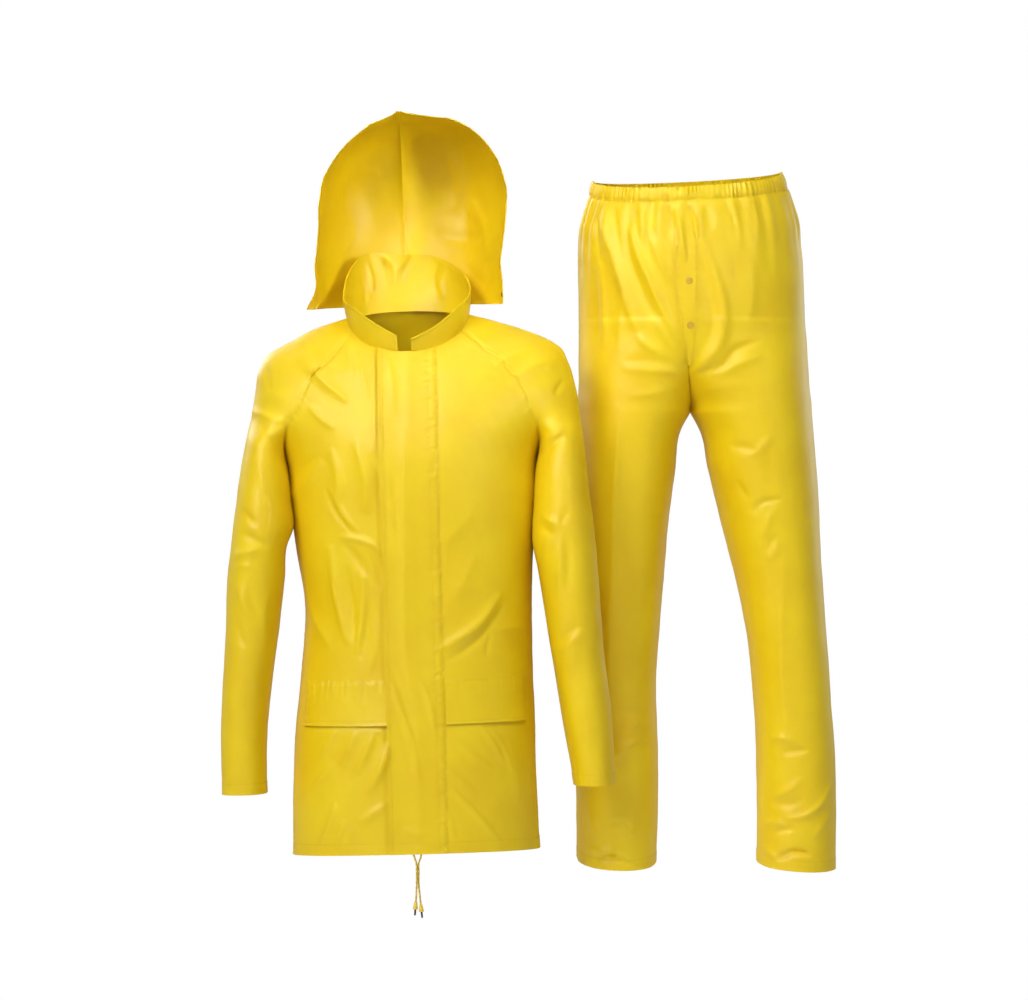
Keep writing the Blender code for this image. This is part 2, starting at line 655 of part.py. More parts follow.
def build_sleeve(side):
    """The front and the back half of a raglan sleeve, which meet along its outer edge."""
    upper = [row.height for row in ARMHOLE]
    rows = upper + SLEEVE_ROWS
    counts = SLEEVE_COLUMNS + [SLEEVE_COLUMNS[-1]] * len(SLEEVE_ROWS)

    def inside(points):
        middle = row_at(SLEEVE_RIGHT, min(points[0, 2], UNDERARM_HEIGHT))
        across = (middle.outer + middle.inner) / 2 if points[0, 2] < UNDERARM_HEIGHT else 60.0
        x = -across if side == "right" else across
        depth = middle.middle if points[0, 2] < UNDERARM_HEIGHT else 0.0
        lower = 0.0 if points[0, 2] < UNDERARM_HEIGHT else -60.0
        return np.stack([np.full(len(points), x), np.full(len(points), depth), points[:, 2] + lower], axis=-1)

    def surface(places, height):
        return sleeve(side, places, height)

    for name, start, end in (("front", -1, 0), ("back", 0, 1)):
        columns = [np.linspace(start, end, count + 1) for count in counts]
        add_panel(f"sleeve_{name}_{side}", surface, rows, columns, inside, ends=(1, 1, 0, 0))


def neck_columns():
    """Places round the neck, shared by the collar and the panels under it, in degrees."""
    front = 90 - np.degrees(front_angles(0.0))
    half = len(SIDE_STEPS) + 1
    sleeve_right = np.linspace(front[0], 180 - front[0], 2 * SLEEVE_COLUMNS[0] + 1)
    sleeve_left = 360 - sleeve_right[::-1]
    back = np.linspace(sleeve_right[-1], sleeve_left[0], BACK_COLUMNS + 1)
    return np.concatenate([
        [COLLAR[0].around], front[:half][::-1], sleeve_right[1:], back[1:], sleeve_left[1:],
        360 + front[-half:][::-1][1:], [COLLAR[-1].around],
    ])


def build_collar():
    """The stand collar, open at centre front."""
    around = neck_columns()

    def surface(places, up):
        return collar(places, float(np.clip(up, 0, 1)))

    ups = [0.0, 0.35, 0.7, 1.0]
    add_panel("collar", surface, ups, [around] * len(ups), trunk_axis, wall=COLLAR_WALL,
              ends=(0, 0, 0, 0), row_step=0.02)


def build_hood(side):
    """One half of the hood, from the centre seam to the rim."""
    rows = range(len(HOOD))
    columns = [np.linspace(0, 1, count + 1) if count else np.array([0.0]) for count in HOOD_COLUMNS]

    def inside(points):
        return points * 0 + np.array([0.0, 20.0, 140.0])

    def surface(places, row):
        return hood(side, places, row)

    add_panel("hood_" + side, surface, rows, columns, inside, ends=(1, 0, 0, 0), row_step=0.02)


def half_inside(side):
    """A function that gives points inside one half of the trousers."""

    def inside(points):
        low = points[0, 2] < CROTCH_HEIGHT
        leg = row_at(LEG_RIGHT if side == "right" else LEG_LEFT, min(points[0, 2], CROTCH_HEIGHT))
        x = (leg.outer + leg.inner) / 2 if low else (0.6 * leg.outer + 0.4 * leg.inner)
        return np.stack([np.full(len(points), x), np.full(len(points), TROUSER_DEPTH), points[:, 2]], axis=-1)

    return inside


def build_trouser_half(side):
    """The front and the back panel of one half, from the waist seam to the leg's hem."""
    table = LEG_RIGHT if side == "right" else LEG_LEFT
    legs = list(np.linspace(CROTCH_HEIGHT, table[-1].height, LEG_STEPS + 1)[1:])
    rows = HIP_ROWS + legs
    counts = HIP_COLUMNS + [LEG_COLUMNS] * len(legs)

    def surface(places, height):
        return trousers(side, places, height)

    for name, start, end in (("front", -1, 0), ("back", 0, 1)):
        columns = [np.linspace(start, end, count + 1) for count in counts]
        add_panel(f"trouser_{name}_{side}", surface, rows, columns, half_inside(side), ends=(1, 1, 1, 0),
                  relief=trouser_relief, place=np.array)


def build_waistband():
    """The gathered casing of the waist, a closed ring."""
    count = HIP_COLUMNS[0]
    rows = [HIPS[0].height, (HIPS[0].height + WAISTBAND_BOTTOM) / 2, WAISTBAND_BOTTOM]
    outer, inner = [], []
    for row in rows:
        shells, linings = [], []
        for side, start, end in (("right", -1, 1), ("left", 1, -1)):
            places = np.linspace(start, end, 2 * count + 1)[:-1]
            points, normals = face_out(lambda p, h: trousers(side, p, h), places, row, 0.5, half_inside(side))
            shell = points + gather_height(points)[:, None] * normals
            if row == WAISTBAND_BOTTOM:
                shell[:, 2] += SEAM_GAP / 2
            shells.append(shell)
            linings.append(shell - WALL * normals)
        shell, lining = np.vstack(shells), np.vstack(linings)
        outer.append(np.vstack([shell, shell[:1]]))
        inner.append(np.vstack([lining, lining[:1]]))
    add_wall("waistband", outer, inner)


def front_place(side, x, height):
    """Place of a trouser half's front at x, found from its ring."""
    hips = row_at(HIPS, height)
    outer = hips.left if side == "right" else hips.right
    reach = pi - asin(min(1.0, hips.seam_front / hips.front) ** (SQUARE / 2))
    span = (hips.middle - outer) / (1 - power(cos(reach)))
    across = 1 - (x - outer) / span
    return -np.arccos(np.sign(across) * abs(across) ** (SQUARE / 2)) / reach


def fly(offsets, height):
    """Points over the centre front at distances from its seam."""
    seam = row_at(HIPS, height).middle
    points = []
    for offset in np.atleast_1d(offsets):
        side = "right" if offset < 0 else "left"
        place = front_place(side, seam + offset, height)
        points.append(trousers(side, np.array([place]), height)[0])
    return np.array(points)


def build_fly():
    """The fly's overlap, which lies over the centre front seam, and its two snaps."""
    inside = half_inside("right")
    heights = [row.height for row in FLY]
    columns = [np.linspace(row.right_edge, row.left_edge, 4) for row in FLY]
    add_panel("fly_flap", fly, heights, columns, inside, lift=WALL + FLY_LIFT, ends=(0, 0, 0, 0),
              relief=trouser_relief, place=np.array)
    for name, (offset, height) in SNAP_PLACES.items():
        points, normals = face_out(fly, np.array([offset, offset + 1]), height, 0.5, inside)
        out = FLY_LIFT + WALL + SNAP_SEAT + SNAP_THICKNESS / 2
        centre = points[0] + (trouser_relief(points, normals)[0] + out) * normals[0]
        bm = bmesh.new()
        bmesh.ops.create_cone(bm, cap_ends=True, segments=16, radius1=SNAP_RADIUS * MM,
                              radius2=SNAP_CREST * MM, depth=SNAP_THICKNESS * MM)
        snap = add_object(name, bm, DEEP_YELLOW)
        snap.location = Vector(centre * MM)
        snap.rotation_mode = "QUATERNION"
        snap.rotation_quaternion = Vector(normals[0]).to_track_quat("Z", "Y")


def smooth_route(points, spacing):
    """Points along a smooth curve through a cord's route."""
    points = np.array(points)
    run = np.concatenate([[0], np.cumsum(np.linalg.norm(np.diff(points, axis=0), axis=1))])
    count = int(run[-1] / spacing) + 1
    return np.array([curve_through(run, points, place) for place in np.linspace(0, run[-1], count + 1)])


def add_turned(name, start, direction, profile, colour):
    """A turned piece along a direction: profile rows are (distance, radius)."""
    bm = bmesh.new()
    aside = np.cross(direction, [0.0, 1.0, 0.0])
    aside /= np.linalg.norm(aside)
    other = np.cross(direction, aside)
    rings = []
    for distance, radius in profile:
        turns = [2 * pi * k / TURNED_SIDES for k in range(TURNED_SIDES)]
        ring = [start + direction * distance + radius * (cos(a) * aside + sin(a) * other) for a in turns]
        rings.append([bm.verts.new(point * MM) for point in leaned(np.array(ring))])
    for above, below in zip(rings, rings[1:]):
        bridge(bm, above + above[:1], below + below[:1])
    bm.faces.new(rings[0])
    bm.faces.new(rings[-1])
    add_object(name, bm, colour)


def build_hem_cords():
    """The drawcord's two free ends. A stop and a tip follow each tube along its last direction."""
    for side, route in HEM_CORDS.items():
        points = smooth_route(route, 2.5 * CORD_DIAMETER)
        path = leaned(points) * MM
        curve = bpy.data.curves.new("hem_cord_" + side, "CURVE")
        curve.dimensions = "3D"
        curve.bevel_depth = CORD_DIAMETER / 2 * MM
        curve.bevel_resolution = 2
        curve.use_fill_caps = True
        spline = curve.splines.new("POLY")
        spline.points.add(len(path) - 1)
        for knot, point in zip(spline.points, path):
            knot.co = (*point, 1.0)
        curve.materials.append(make_material("hem_cord_finish_" + side, YELLOW, 0.6))
        bpy.data.collections["rain_suit"].objects.link(bpy.data.objects.new("hem_cord_" + side, curve))
        direction = points[-1] - points[-2]
        direction /= np.linalg.norm(direction)
        start = points[-1] + SEAM_GAP * direction
        bell = [(0.0, BELL_NECK), (BELL_LENGTH * 0.3, BELL_NECK + 0.5), (BELL_LENGTH, BELL_MOUTH)]
        add_turned("cord_bell_" + side, start, direction, bell, YELLOW)
        start = start + (BELL_LENGTH + SEAM_GAP) * direction
        tip = [(0.0, TIP_RADIUS), (TIP_LENGTH - 1.0, TIP_RADIUS), (TIP_LENGTH, TIP_RADIUS * 0.6)]
        add_turned("cord_tip_" + side, start, direction, tip, DARK)


def main():
    for old in list(bpy.data.objects):
        bpy.data.objects.remove(old)
    collection = bpy.data.collections.new("rain_suit")
    bpy.context.scene.collection.children.link(collection)
    build_jacket_body()
    build_sleeve("right")
    build_sleeve("left")
    build_collar()
    build_hood("right")
    build_hood("left")
    build_trouser_half("right")
    build_trouser_half("left")
    build_waistband()
    build_fly()
    build_hem_cords()


main()
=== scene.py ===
"""A yellow rain suit, filled out with no wearer: a hooded raglan jacket beside a pair of trousers.

Every cloth piece is a thin shell on the form of its solid. The forms come from the same tables of
rings as the solids, in millimetres. The creases lie where the photograph shows them, so their
tables hold pixels of its 1028 by 1000 frame. The front faces -Y and the wearer's right is at -X.
"""

import logging
from dataclasses import dataclass, field
from enum import Enum
from math import cos, pi, radians, sin

import bmesh
import bpy
import numpy as np
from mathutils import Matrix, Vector


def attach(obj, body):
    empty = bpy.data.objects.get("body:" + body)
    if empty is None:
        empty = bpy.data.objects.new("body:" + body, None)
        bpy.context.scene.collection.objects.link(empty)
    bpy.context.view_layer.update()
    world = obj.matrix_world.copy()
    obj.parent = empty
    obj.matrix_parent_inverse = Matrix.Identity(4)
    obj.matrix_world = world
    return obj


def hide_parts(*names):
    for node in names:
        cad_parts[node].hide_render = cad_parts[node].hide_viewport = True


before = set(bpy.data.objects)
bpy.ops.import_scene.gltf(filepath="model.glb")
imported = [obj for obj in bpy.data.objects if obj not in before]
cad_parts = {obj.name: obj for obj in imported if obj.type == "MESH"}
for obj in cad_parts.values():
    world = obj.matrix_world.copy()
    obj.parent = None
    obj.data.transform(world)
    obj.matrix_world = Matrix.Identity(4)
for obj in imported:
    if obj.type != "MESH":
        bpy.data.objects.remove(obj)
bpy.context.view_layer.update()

LOG = logging.getLogger("rain_suit")
Array = np.ndarray

# Units, in metres
MM = 0.001

# Photograph: its scale at the jacket's middle, and the camera that took it
PHOTO_WIDTH = 1028
PIXEL = 1.5
PHOTO_CENTRE = (514.0, 500.0)
CAMERA_DISTANCE = 6000.0
CAMERA_ACROSS, CAMERA_HEIGHT = 159.0, -274.5
SENSOR = 36.0

# Sizes that the whole suit shares
CLOTH = 0.9
COLLAR_CLOTH = 1.8
JACKET_LEAN = radians(1.5)
TROUSER_DEPTH = 160.0
SQUARE = 2.2
DIP_CURVE = 1.25
UNDERARM_HEIGHT = -209.0
HEM_HEIGHT = -800.0
CROTCH_HEIGHT = -140.0
POCKET_TOP, POCKET_BOTTOM = -538.0, -605.0
STORM_FLAP_HALF, ZIP_HALF = 43.0, 6.0
CREASE_DEPTH = 1.45
FRONT_STEP, BACK_STEP = 3.2, 5.0


@dataclass(frozen=True)
class Table:
    """Sizes against the first column of their rows, joined by smooth curves."""

    names: str
    rows: tuple[tuple[float, ...], ...]

    def at(self, places: Array) -> dict[str, Array]:
        """Sizes at places of the first column.

        Args:
            places: places along the first column.

        Returns:
            One column of values for each name.
        """
        values = np.array(self.rows, float)
        values = values[np.argsort(values[:, 0])]
        found = curve_through(values[:, 0], values, np.atleast_1d(np.asarray(places, float)))
        return {name: found[:, i:i + 1] for i, name in enumerate(self.names.split())}


def curve_through(knots: Array, values: Array, places: Array) -> Array:
    """Values on the smooth curve through a table.

    Args:
        knots: places of the table's rows, rising.
        values: the table's rows.
        places: where the curve is read.

    Returns:
        One row of values for each place.
    """
    step = np.diff(knots)
    rate = np.diff(values, axis=0) / step[:, None]
    inner = (rate[:-1] * step[1:, None] + rate[1:] * step[:-1, None]) / (step[:-1] + step[1:])[:, None]
    slope = np.vstack([rate[:1], inner, rate[-1:]])
    places = np.clip(places, knots[0], knots[-1])
    i = np.clip(np.searchsorted(knots, places, side="right") - 1, 0, len(step) - 1)
    t, size = ((places - knots[i]) / step[i])[:, None], step[i][:, None]
    return (
        (2 * t**3 - 3 * t**2 + 1) * values[i]
        + (t**3 - 2 * t**2 + t) * size * slope[i]
        + (3 * t**2 - 2 * t**3) * values[i + 1]
        + (t**3 - t**2) * size * slope[i + 1]
    )


# Rings of the jacket: half widths left and right of the zip, depths before and behind the middle
JACKET = Table("height left right front back dip rise", (
    (0, 91, 90, 87, 84, 55, 16),
    (-14, 141, 144, 91, 95, 50, 12),
    (-31, 176, 191, 96, 105, 43, 9),
    (-50, 210, 225, 101, 112, 36, 6),
    (-72, 225, 237, 106, 118, 29, 4),
    (-100, 231, 246, 112, 123, 22, 2),
    (-141, 223, 233, 120, 128, 12, 0),
    (-175, 203, 208, 127, 131, 4, 0),
    (-209, 188, 190, 132, 133, 0, 0),
    (-270, 184, 186, 133, 133, 0, 0),
    (-340, 177, 180, 131, 128, 0, 0),
    (-430, 165, 175, 128, 120, 0, 0),
    (-538, 175, 173, 130, 122, 0, 0),
    (-605, 183, 174, 134, 128, 0, 0),
    (-700, 190, 175, 137, 133, 0, 0),
    (-800, 193, 177, 139, 136, -6, 0),
))

# Raglan seams: their angles from the side of the ring, the sleeve's reach, edges and middle
ARMHOLE = Table("height front_seam back_seam reach right_edge left_edge middle", (
    (0, 27.0, 27.0, 27.0, 91, 90, 0),
    (-14, 43.7, 46.0, 43.7, 141, 144, 0),
    (-31, 49.5, 51.9, 49.5, 176, 191, 0),
    (-50, 52.4, 54.5, 52.4, 210, 225, 0),
    (-72, 50.7, 52.9, 52.0, 225, 237, 0),
    (-100, 47.5, 48.0, 58.0, 231, 246, 0),
    (-141, 40.1, 38.0, 82.0, 238, 253, -4),
    (-175, 24.6, 18.0, 144.0, 246, 256, -10),
    (-209, 5.2, -5.2, 180.0, 252, 260, -15),
))

# Rings of the sleeves below the underarm
SLEEVE_RIGHT = Table("height outer inner middle front back", (
    (-209, 252, 187.4, -15, 82, 84),
    (-235, 256, 183.0, -22, 81, 82),
    (-270, 261, 180.0, -29, 79, 80),
    (-310, 268, 177.5, -35, 77, 78),
    (-340, 272, 189, -38, 75, 76),
    (-380, 277, 192, -40, 73, 74),
    (-460, 282, 203, -42, 68, 69),
    (-540, 288, 215, -44, 62, 63),
    (-620, 293, 225, -46, 56, 57),
    (-704, 295, 227, -47, 52, 53),
))
SLEEVE_LEFT = Table("height outer inner middle front back", (
    (-209, 260, 189.4, -15, 82, 84),
    (-235, 262, 185.0, -22, 81, 82),
    (-270, 265, 182.0, -29, 79, 80),
    (-310, 269, 179.0, -35, 77, 78),
    (-340, 271, 177.5, -38, 75, 76),
    (-380, 274, 184, -40, 73, 74),
    (-460, 278, 195, -42, 68, 69),
    (-540, 283, 206, -44, 62, 63),
    (-620, 289, 217, -46, 56, 57),
    (-704, 291, 231, -47, 52, 53),
))
CUFF_HEIGHT = -704.0

# Collar: degrees round the neck from centre front, height of the top edge and its lean
COLLAR = Table("around height lean", (
    (7, 23, 12),
    (20, 33, 13),
    (45, 45, 10),
    (90, 39, 5),
    (110, 62, 5),
    (132, 84, 6),
    (180, 83, 7),
    (204, 81, 7),
    (220, 72, 6),
    (245, 57, 5),
    (270, 41, 4),
    (315, 44, 10),
    (340, 30, 13),
    (357, 18, 12),
))
COLLAR_SWELL, COLLAR_CURVE = 0.05, 1.3
COLLAR_START, COLLAR_END = 7.0, 357.0

# Hood: sections from the neck to the peak, from the centre seam behind to the rim
HOOD = Table("row right left rim_height rim_depth seam_depth seam_height square", (
    (0, 152, 143, 15, -12, 87.2, 20, 1.88),
    (1, 137, 143, 42, -16, 110, 52, 1.9),
    (2, 135, 142, 88, -20, 134, 98, 2.1),
    (3, 131, 149, 138, -22, 147, 148, 2.2),
    (4, 126, 152, 188, -24, 147, 198, 2.2),
    (5, 112, 144, 224, -26, 132, 243, 2.1),
    (6, 84, 121, 260, -28, 100, 281, 2.0),
    (7, 50, 84, 287, -29, 55, 303, 2.0),
    (8, 22, 38, 301, -30, 10, 309, 2.0),
    (9, 6, -6, 306, -31, -31, 306, 2.0),
))
HOOD_SEAM, HOOD_PEAK_ROW = -6.0, 8.97
HOOD_DENT, HOOD_DENT_REACH = 36.0, 104.0

# Trousers: rings of the hips down to the crotch, then rings of each leg
HIPS = Table("height left right middle front back seam_front seam_back dip roll", (
    (224, 279, 571, 421, 112, 112, 112, 112, 24, 0.048),
    (200, 274, 581, 421, 115, 115, 115, 115, 22, 0.045),
    (178, 267, 589, 420, 119, 120, 119, 120, 18, 0.040),
    (150, 260, 597, 420, 124, 127, 124, 127, 12, 0.030),
    (118, 258, 600, 420, 127, 132, 127, 132, 8, 0.020),
    (80, 258, 604, 420, 128, 135, 128, 135, 4, 0.010),
    (40, 258, 606, 420, 128, 136, 128, 136, 0, 0.0),
    (0, 258, 607, 420, 127, 136, 127, 136, 0, 0.0),
    (-44, 258, 610, 421, 122, 131, 118, 129, 0, 0.0),
    (-79, 258, 612, 424, 120, 128, 98, 112, 0, 0.0),
    (-105, 258, 614, 427, 119, 126, 72, 84, 0, 0.0),
    (-125, 257, 616, 430, 118, 124, 38, 45, 0, 0.0),
    (-140, 257, 617, 430, 118, 124, 0, 0, 0, 0.0),
))
LEG_RIGHT = Table("height outer inner middle front back dip roll", (
    (-140, 257, 429.8, 0, 118, 124, 0, 0.0),
    (-165, 257, 417, 0, 116, 122, 0, 0.0),
    (-228, 256, 407, -3, 109, 114, 0, 0.0),
    (-321, 256, 395, -6, 100, 103, 0, 0.0),
    (-444, 256, 385, -8, 90, 92, 0, 0.0),
    (-567, 256, 378, -6, 83, 85, 0, 0.0),
    (-690, 254, 381, -4, 79, 81, 0, 0.0),
    (-826, 256, 378, -2, 77, 79, 12, -0.03),
))
LEG_LEFT = Table("height outer inner middle front back dip roll", (
    (-140, 617, 430.2, 0, 118, 124, 0, 0.0),
    (-165, 619, 444, 0, 116, 122, 0, 0.0),
    (-228, 624, 458, -3, 109, 114, 0, 0.0),
    (-321, 629, 481, -6, 100, 103, 0, 0.0),
    (-444, 636, 510, -8, 90, 92, 0, 0.0),
    (-567, 646, 526, -6, 83, 85, 0, 0.0),
    (-690, 653, 533, -4, 79, 81, 0, 0.0),
    (-833, 654, 532, -2, 77, 79, 7, -0.07),
))
LEG_HEMS = {"right": -826.0, "left": -833.0}
WAIST_TOP, WAISTBAND_BOTTOM = 224.0, 200.0
WAIST_MIDDLE = 421.0

# Gathers of the elastic waist: how deep they are at each height
GATHERS = Table("height fine broad", (
    (224, 1.3, 0.0),
    (200, 1.5, 0.6),
    (183, 0.9, 1.8),
    (158, 0.2, 2.4),
    (118, 0.0, 1.2),
    (60, 0.0, 0.0),
))
FINE_WAVES, BROAD_WAVES, WAIST_SQUASH = 126, 34, 0.75

# Fly: its edges on either side of the centre front seam
FLY = Table("height right_edge left_edge", (
    (183, -18, 18),
    (158, -18, 18),
    (122, -18, 18),
    (80, -19, 18),
    (59, -17.5, 18),
    (40, -16, 18),
    (0, -12, 17),
    (-10, -11, 16.5),
    (-44, -7, 13),
    (-70, -4, 7),
))
FLY_TOP, FLY_BOTTOM = 183.0, -70.0
SNAPS = {"snap_upper": (3.0, 59.0), "snap_lower": (5.0, -10.0)}

# Drawcord of the hem: the routes of its two free ends, in the upright jacket
CORD_DIAMETER = 2.8
HEM_CORDS = {
    "right": ((-9.0, -138.2, -794.4), (-7.5, -138.6, -799), (-5.4, -139.0, -806), (-5.0, -139.4, -820),
              (-5.6, -139.4, -838), (-6.4, -139.2, -852), (-7.4, -139.0, -863)),
    "left": ((2.3, -138.2, -794.4), (1.4, -138.0, -799), (-1.6, -137.2, -806), (-2.2, -136.4, -820),
             (-2.6, -136.2, -838), (-1.6, -136.4, -852), (-0.4, -136.6, -867)),
}
BELL_LENGTH, TIP_LENGTH, CORD_GAP = 11.0, 9.0, 0.3


@dataclass(frozen=True)
class Crease:
    """A soft ridge, or a trough where its height is negative, along pixels of the photograph."""

    width: float
    height: float
    route: tuple[tuple[float, float], ...]

    def line(self) -> Array:
        """Points along the crease, closer together than its route's."""
        knots = np.array(self.route, float)
        if len(knots) == 2:
            return knots
        run = np.concatenate([[0.0], np.cumsum(np.linalg.norm(np.diff(knots, axis=0), axis=1))])
        return curve_through(run, knots, np.linspace(0, run[-1], 6 * len(knots)))


# Creases of the jacket's front and sleeves
JACKET_FRONT = (
    Crease(5.5, 4.2, ((291, 348), (314, 372), (348, 402))),
    Crease(3.0, -1.6, ((288, 338), (310, 352), (330, 362))),
    Crease(4.0, 2.2, ((308, 405), (320, 418), (334, 429))),
    Crease(4.0, 1.4, ((344, 342), (349, 358), (353, 376))),
    Crease(4.0, 1.5, ((359, 362), (364, 382), (369, 400))),
    Crease(7.0, 2.8, ((287, 499), (304, 484), (323, 461))),
    Crease(3.5, -1.4, ((298, 474), (316, 456))),
    Crease(5.0, 2.8, ((330, 448), (338, 478), (336, 508))),
    Crease(5.5, 3.6, ((354, 438), (364, 470), (367, 514))),
    Crease(3.2, -2.4, ((372, 452), (377, 478), (379, 506))),
    Crease(2.4, -2.0, ((325, 488), (337, 514), (354, 535))),
    Crease(2.6, 2.0, ((330, 488), (342, 512), (359, 532))),
    Crease(3.0, 2.8, ((338, 537), (360, 540), (384, 551))),
    Crease(5.0, -3.0, ((342, 543), (354, 556), (366, 576))),
    Crease(4.0, -2.4, ((372, 552), (378, 568), (380, 590))),
    Crease(5.0, 3.0, ((303, 572), (311, 608), (330, 648))),
    Crease(4.6, 4.4, ((330, 545), (337, 596), (348, 645))),
    Crease(4.0, -2.4, ((345, 565), (351, 604), (355, 645))),
    Crease(4.0, 3.0, ((361, 560), (363, 604), (357, 655))),
    Crease(3.6, -2.0, ((370, 600), (367, 632), (361, 660))),
    Crease(3.4, 1.6, ((374, 624), (376, 646), (368, 676))),
    Crease(3.4, 2.2, ((336, 729), (329, 742), (321, 759))),
    Crease(3.6, 2.6, ((356, 731), (350, 748), (340, 768))),
    Crease(4.0, 3.2, ((375, 730), (367, 750), (356, 774))),
    Crease(5.0, 4.0, ((391, 742), (383, 764), (369, 794))),
    Crease(3.0, 1.6, ((334, 763), (325, 774), (312, 788))),
    Crease(3.0, 1.4, ((328, 798), (322, 810), (316, 822))),
    Crease(3.2, 3.0, ((336, 804), (329, 824), (320, 847))),
    Crease(3.0, 2.2, ((345, 820), (340, 834), (336, 850))),
    Crease(2.6, 1.6, ((355, 826), (349, 838), (345, 850))),
    Crease(4.0, 2.6, ((388, 804), (376, 812), (360, 824))),
    Crease(3.4, 3.0, ((466, 345), (496, 342), (526, 337))),
    Crease(4.0, 3.2, ((494, 364), (514, 355), (536, 342))),
    Crease(5.0, 2.2, ((508, 384), (528, 370), (552, 358))),
    Crease(8.0, 1.6, ((440, 546), (456, 532), (474, 512))),
    Crease(8.0, 1.8, ((452, 604), (464, 580), (476, 552))),
    Crease(6.0, 3.6, ((502, 592), (474, 628), (438, 651))),
    Crease(4.0, -2.0, ((504, 606), (478, 640), (446, 662))),
    Crease(5.0, 2.2, ((498, 629), (516, 627), (534, 628))),
    Crease(2.6, -1.4, ((491, 632), (488, 644), (486, 656))),
    Crease(2.6, 1.8, ((478, 722), (494, 744), (504, 764))),
    Crease(2.6, 1.5, ((488, 724), (502, 744), (514, 776))),
    Crease(3.4, 2.6, ((441, 781), (468, 806), (500, 842))),
    Crease(2.8, 1.6, ((443, 800), (450, 820), (455, 842))),
    Crease(3.6, 1.6, ((442, 764), (460, 780), (476, 796))),
    Crease(4.0, 1.4, ((450, 735), (470, 752), (492, 770))),
    Crease(5.0, 1.4, ((508, 740), (516, 772), (520, 806))),
)
STORM_FLAP = (
    Crease(6.0, 2.4, ((403, 430), (404, 560), (405, 640), (412, 700))),
    Crease(3.0, 1.4, ((386, 470), (392, 510), (396, 560))),
    Crease(2.8, 1.6, ((388, 674), (400, 708), (412, 742), (420, 790))),
    Crease(2.6, -1.2, ((392, 668), (404, 700), (417, 740))),
    Crease(3.0, 1.4, ((420, 676), (430, 706), (437, 744))),
    Crease(4.0, 1.5, ((404, 828), (414, 834), (424, 836))),
    Crease(4.0, 1.2, ((384, 350), (392, 380), (394, 414))),
)
SLEEVES_FRONT = (
    Crease(4.0, 3.2, ((247, 410), (260, 414), (280, 422))),
    Crease(3.4, -2.2, ((258, 424), (268, 432), (280, 452))),
    Crease(3.4, 2.0, ((257, 458), (262, 478), (268, 500))),
    Crease(3.0, -2.2, ((241, 509), (249, 518), (257, 526))),
    Crease(4.4, -3.4, ((240, 531), (254, 540), (273, 545))),
    Crease(4.6, 3.8, ((234, 556), (248, 552), (262, 547))),
    Crease(4.0, 2.0, ((234, 570), (244, 566), (254, 568))),
    Crease(4.0, 2.4, ((238, 582), (243, 602), (251, 618))),
    Crease(3.6, -2.0, ((249, 580), (252, 600), (258, 616))),
    Crease(3.4, -2.0, ((236, 620), (240, 636), (246, 648))),
    Crease(4.0, 1.8, ((268, 590), (264, 616), (266, 650))),
    Crease(4.0, 1.4, ((243, 660), (252, 676), (262, 690))),
    Crease(3.6, -1.6, ((262, 352), (266, 372), (270, 392))),
    Crease(2.2, -2.8, ((564, 379), (559, 387), (554, 395))),
    Crease(4.0, 3.2, ((563, 430), (551, 438), (540, 450))),
    Crease(3.4, -2.4, ((562, 436), (552, 446), (544, 460))),
    Crease(2.4, -1.8, ((569, 508), (565, 516), (561, 526))),
    Crease(4.0, -2.6, ((539, 524), (546, 531), (554, 536))),
    Crease(3.6, 2.6, ((540, 514), (550, 520), (560, 528))),
    Crease(4.0, -2.2, ((567, 538), (569, 564), (566, 594))),
    Crease(4.0, 2.2, ((559, 542), (560, 568), (558, 592))),
    Crease(3.6, 2.4, ((560, 654), (570, 644), (584, 630))),
    Crease(4.0, -1.8, ((556, 646), (566, 636), (578, 624))),
    Crease(3.6, 2.2, ((576, 644), (573, 658), (569, 674))),
    Crease(4.0, 1.6, ((590, 604), (596, 622), (600, 640))),
    Crease(4.0, 1.5, ((580, 700), (586, 726), (588, 756))),
    Crease(4.0, 1.8, ((545, 370), (552, 366), (560, 364))),
)
JACKET_BEHIND = (
    Crease(9.0, 3.6, ((310, 386), (340, 412), (366, 450))),
    Crease(9.0, 3.6, ((506, 386), (478, 414), (452, 452))),
    Crease(6.0, -2.4, ((318, 412), (344, 442), (362, 478))),
    Crease(6.0, -2.4, ((500, 412), (474, 444), (458, 482))),
    Crease(10.0, -3.4, ((330, 566), (410, 575), (500, 566))),
    Crease(8.0, 2.8, ((336, 606), (410, 612), (492, 602))),
    Crease(5.0, 2.4, ((352, 520), (392, 532), (436, 528))),
    Crease(5.0, -2.0, ((372, 548), (418, 556), (462, 544))),
    Crease(6.0, 3.2, ((318, 640), (340, 690), (372, 742))),
    Crease(6.0, 3.0, ((512, 640), (488, 690), (460, 744))),
    Crease(5.0, 2.2, ((410, 650), (404, 710), (412, 780))),
    Crease(5.0, 2.0, ((356, 760), (350, 800), (354, 844))),
    Crease(5.0, 2.0, ((470, 764), (478, 804), (474, 842))),
    Crease(5.0, -1.8, ((384, 700), (380, 760), (386, 820))),
    Crease(5.0, -1.8, ((440, 706), (446, 770), (442, 826))),
    Crease(6.0, 1.6, ((396, 372), (402, 420), (398, 470))),
    Crease(4.0, 3.0, ((247, 420), (262, 428), (280, 440))),
    Crease(4.4, -3.2, ((240, 540), (256, 552), (276, 560))),
    Crease(4.4, 3.0, ((238, 566), (254, 574), (272, 590))),
    Crease(4.0, 2.0, ((240, 620), (254, 640), (262, 664))),
    Crease(4.0, 3.0, ((576, 424), (562, 434), (546, 448))),
    Crease(4.4, -3.2, ((580, 540), (566, 552), (548, 558))),
    Crease(4.4, 3.0, ((588, 566), (572, 580), (556, 592))),
    Crease(4.0, 2.0, ((596, 640), (586, 662), (576, 684))),
)
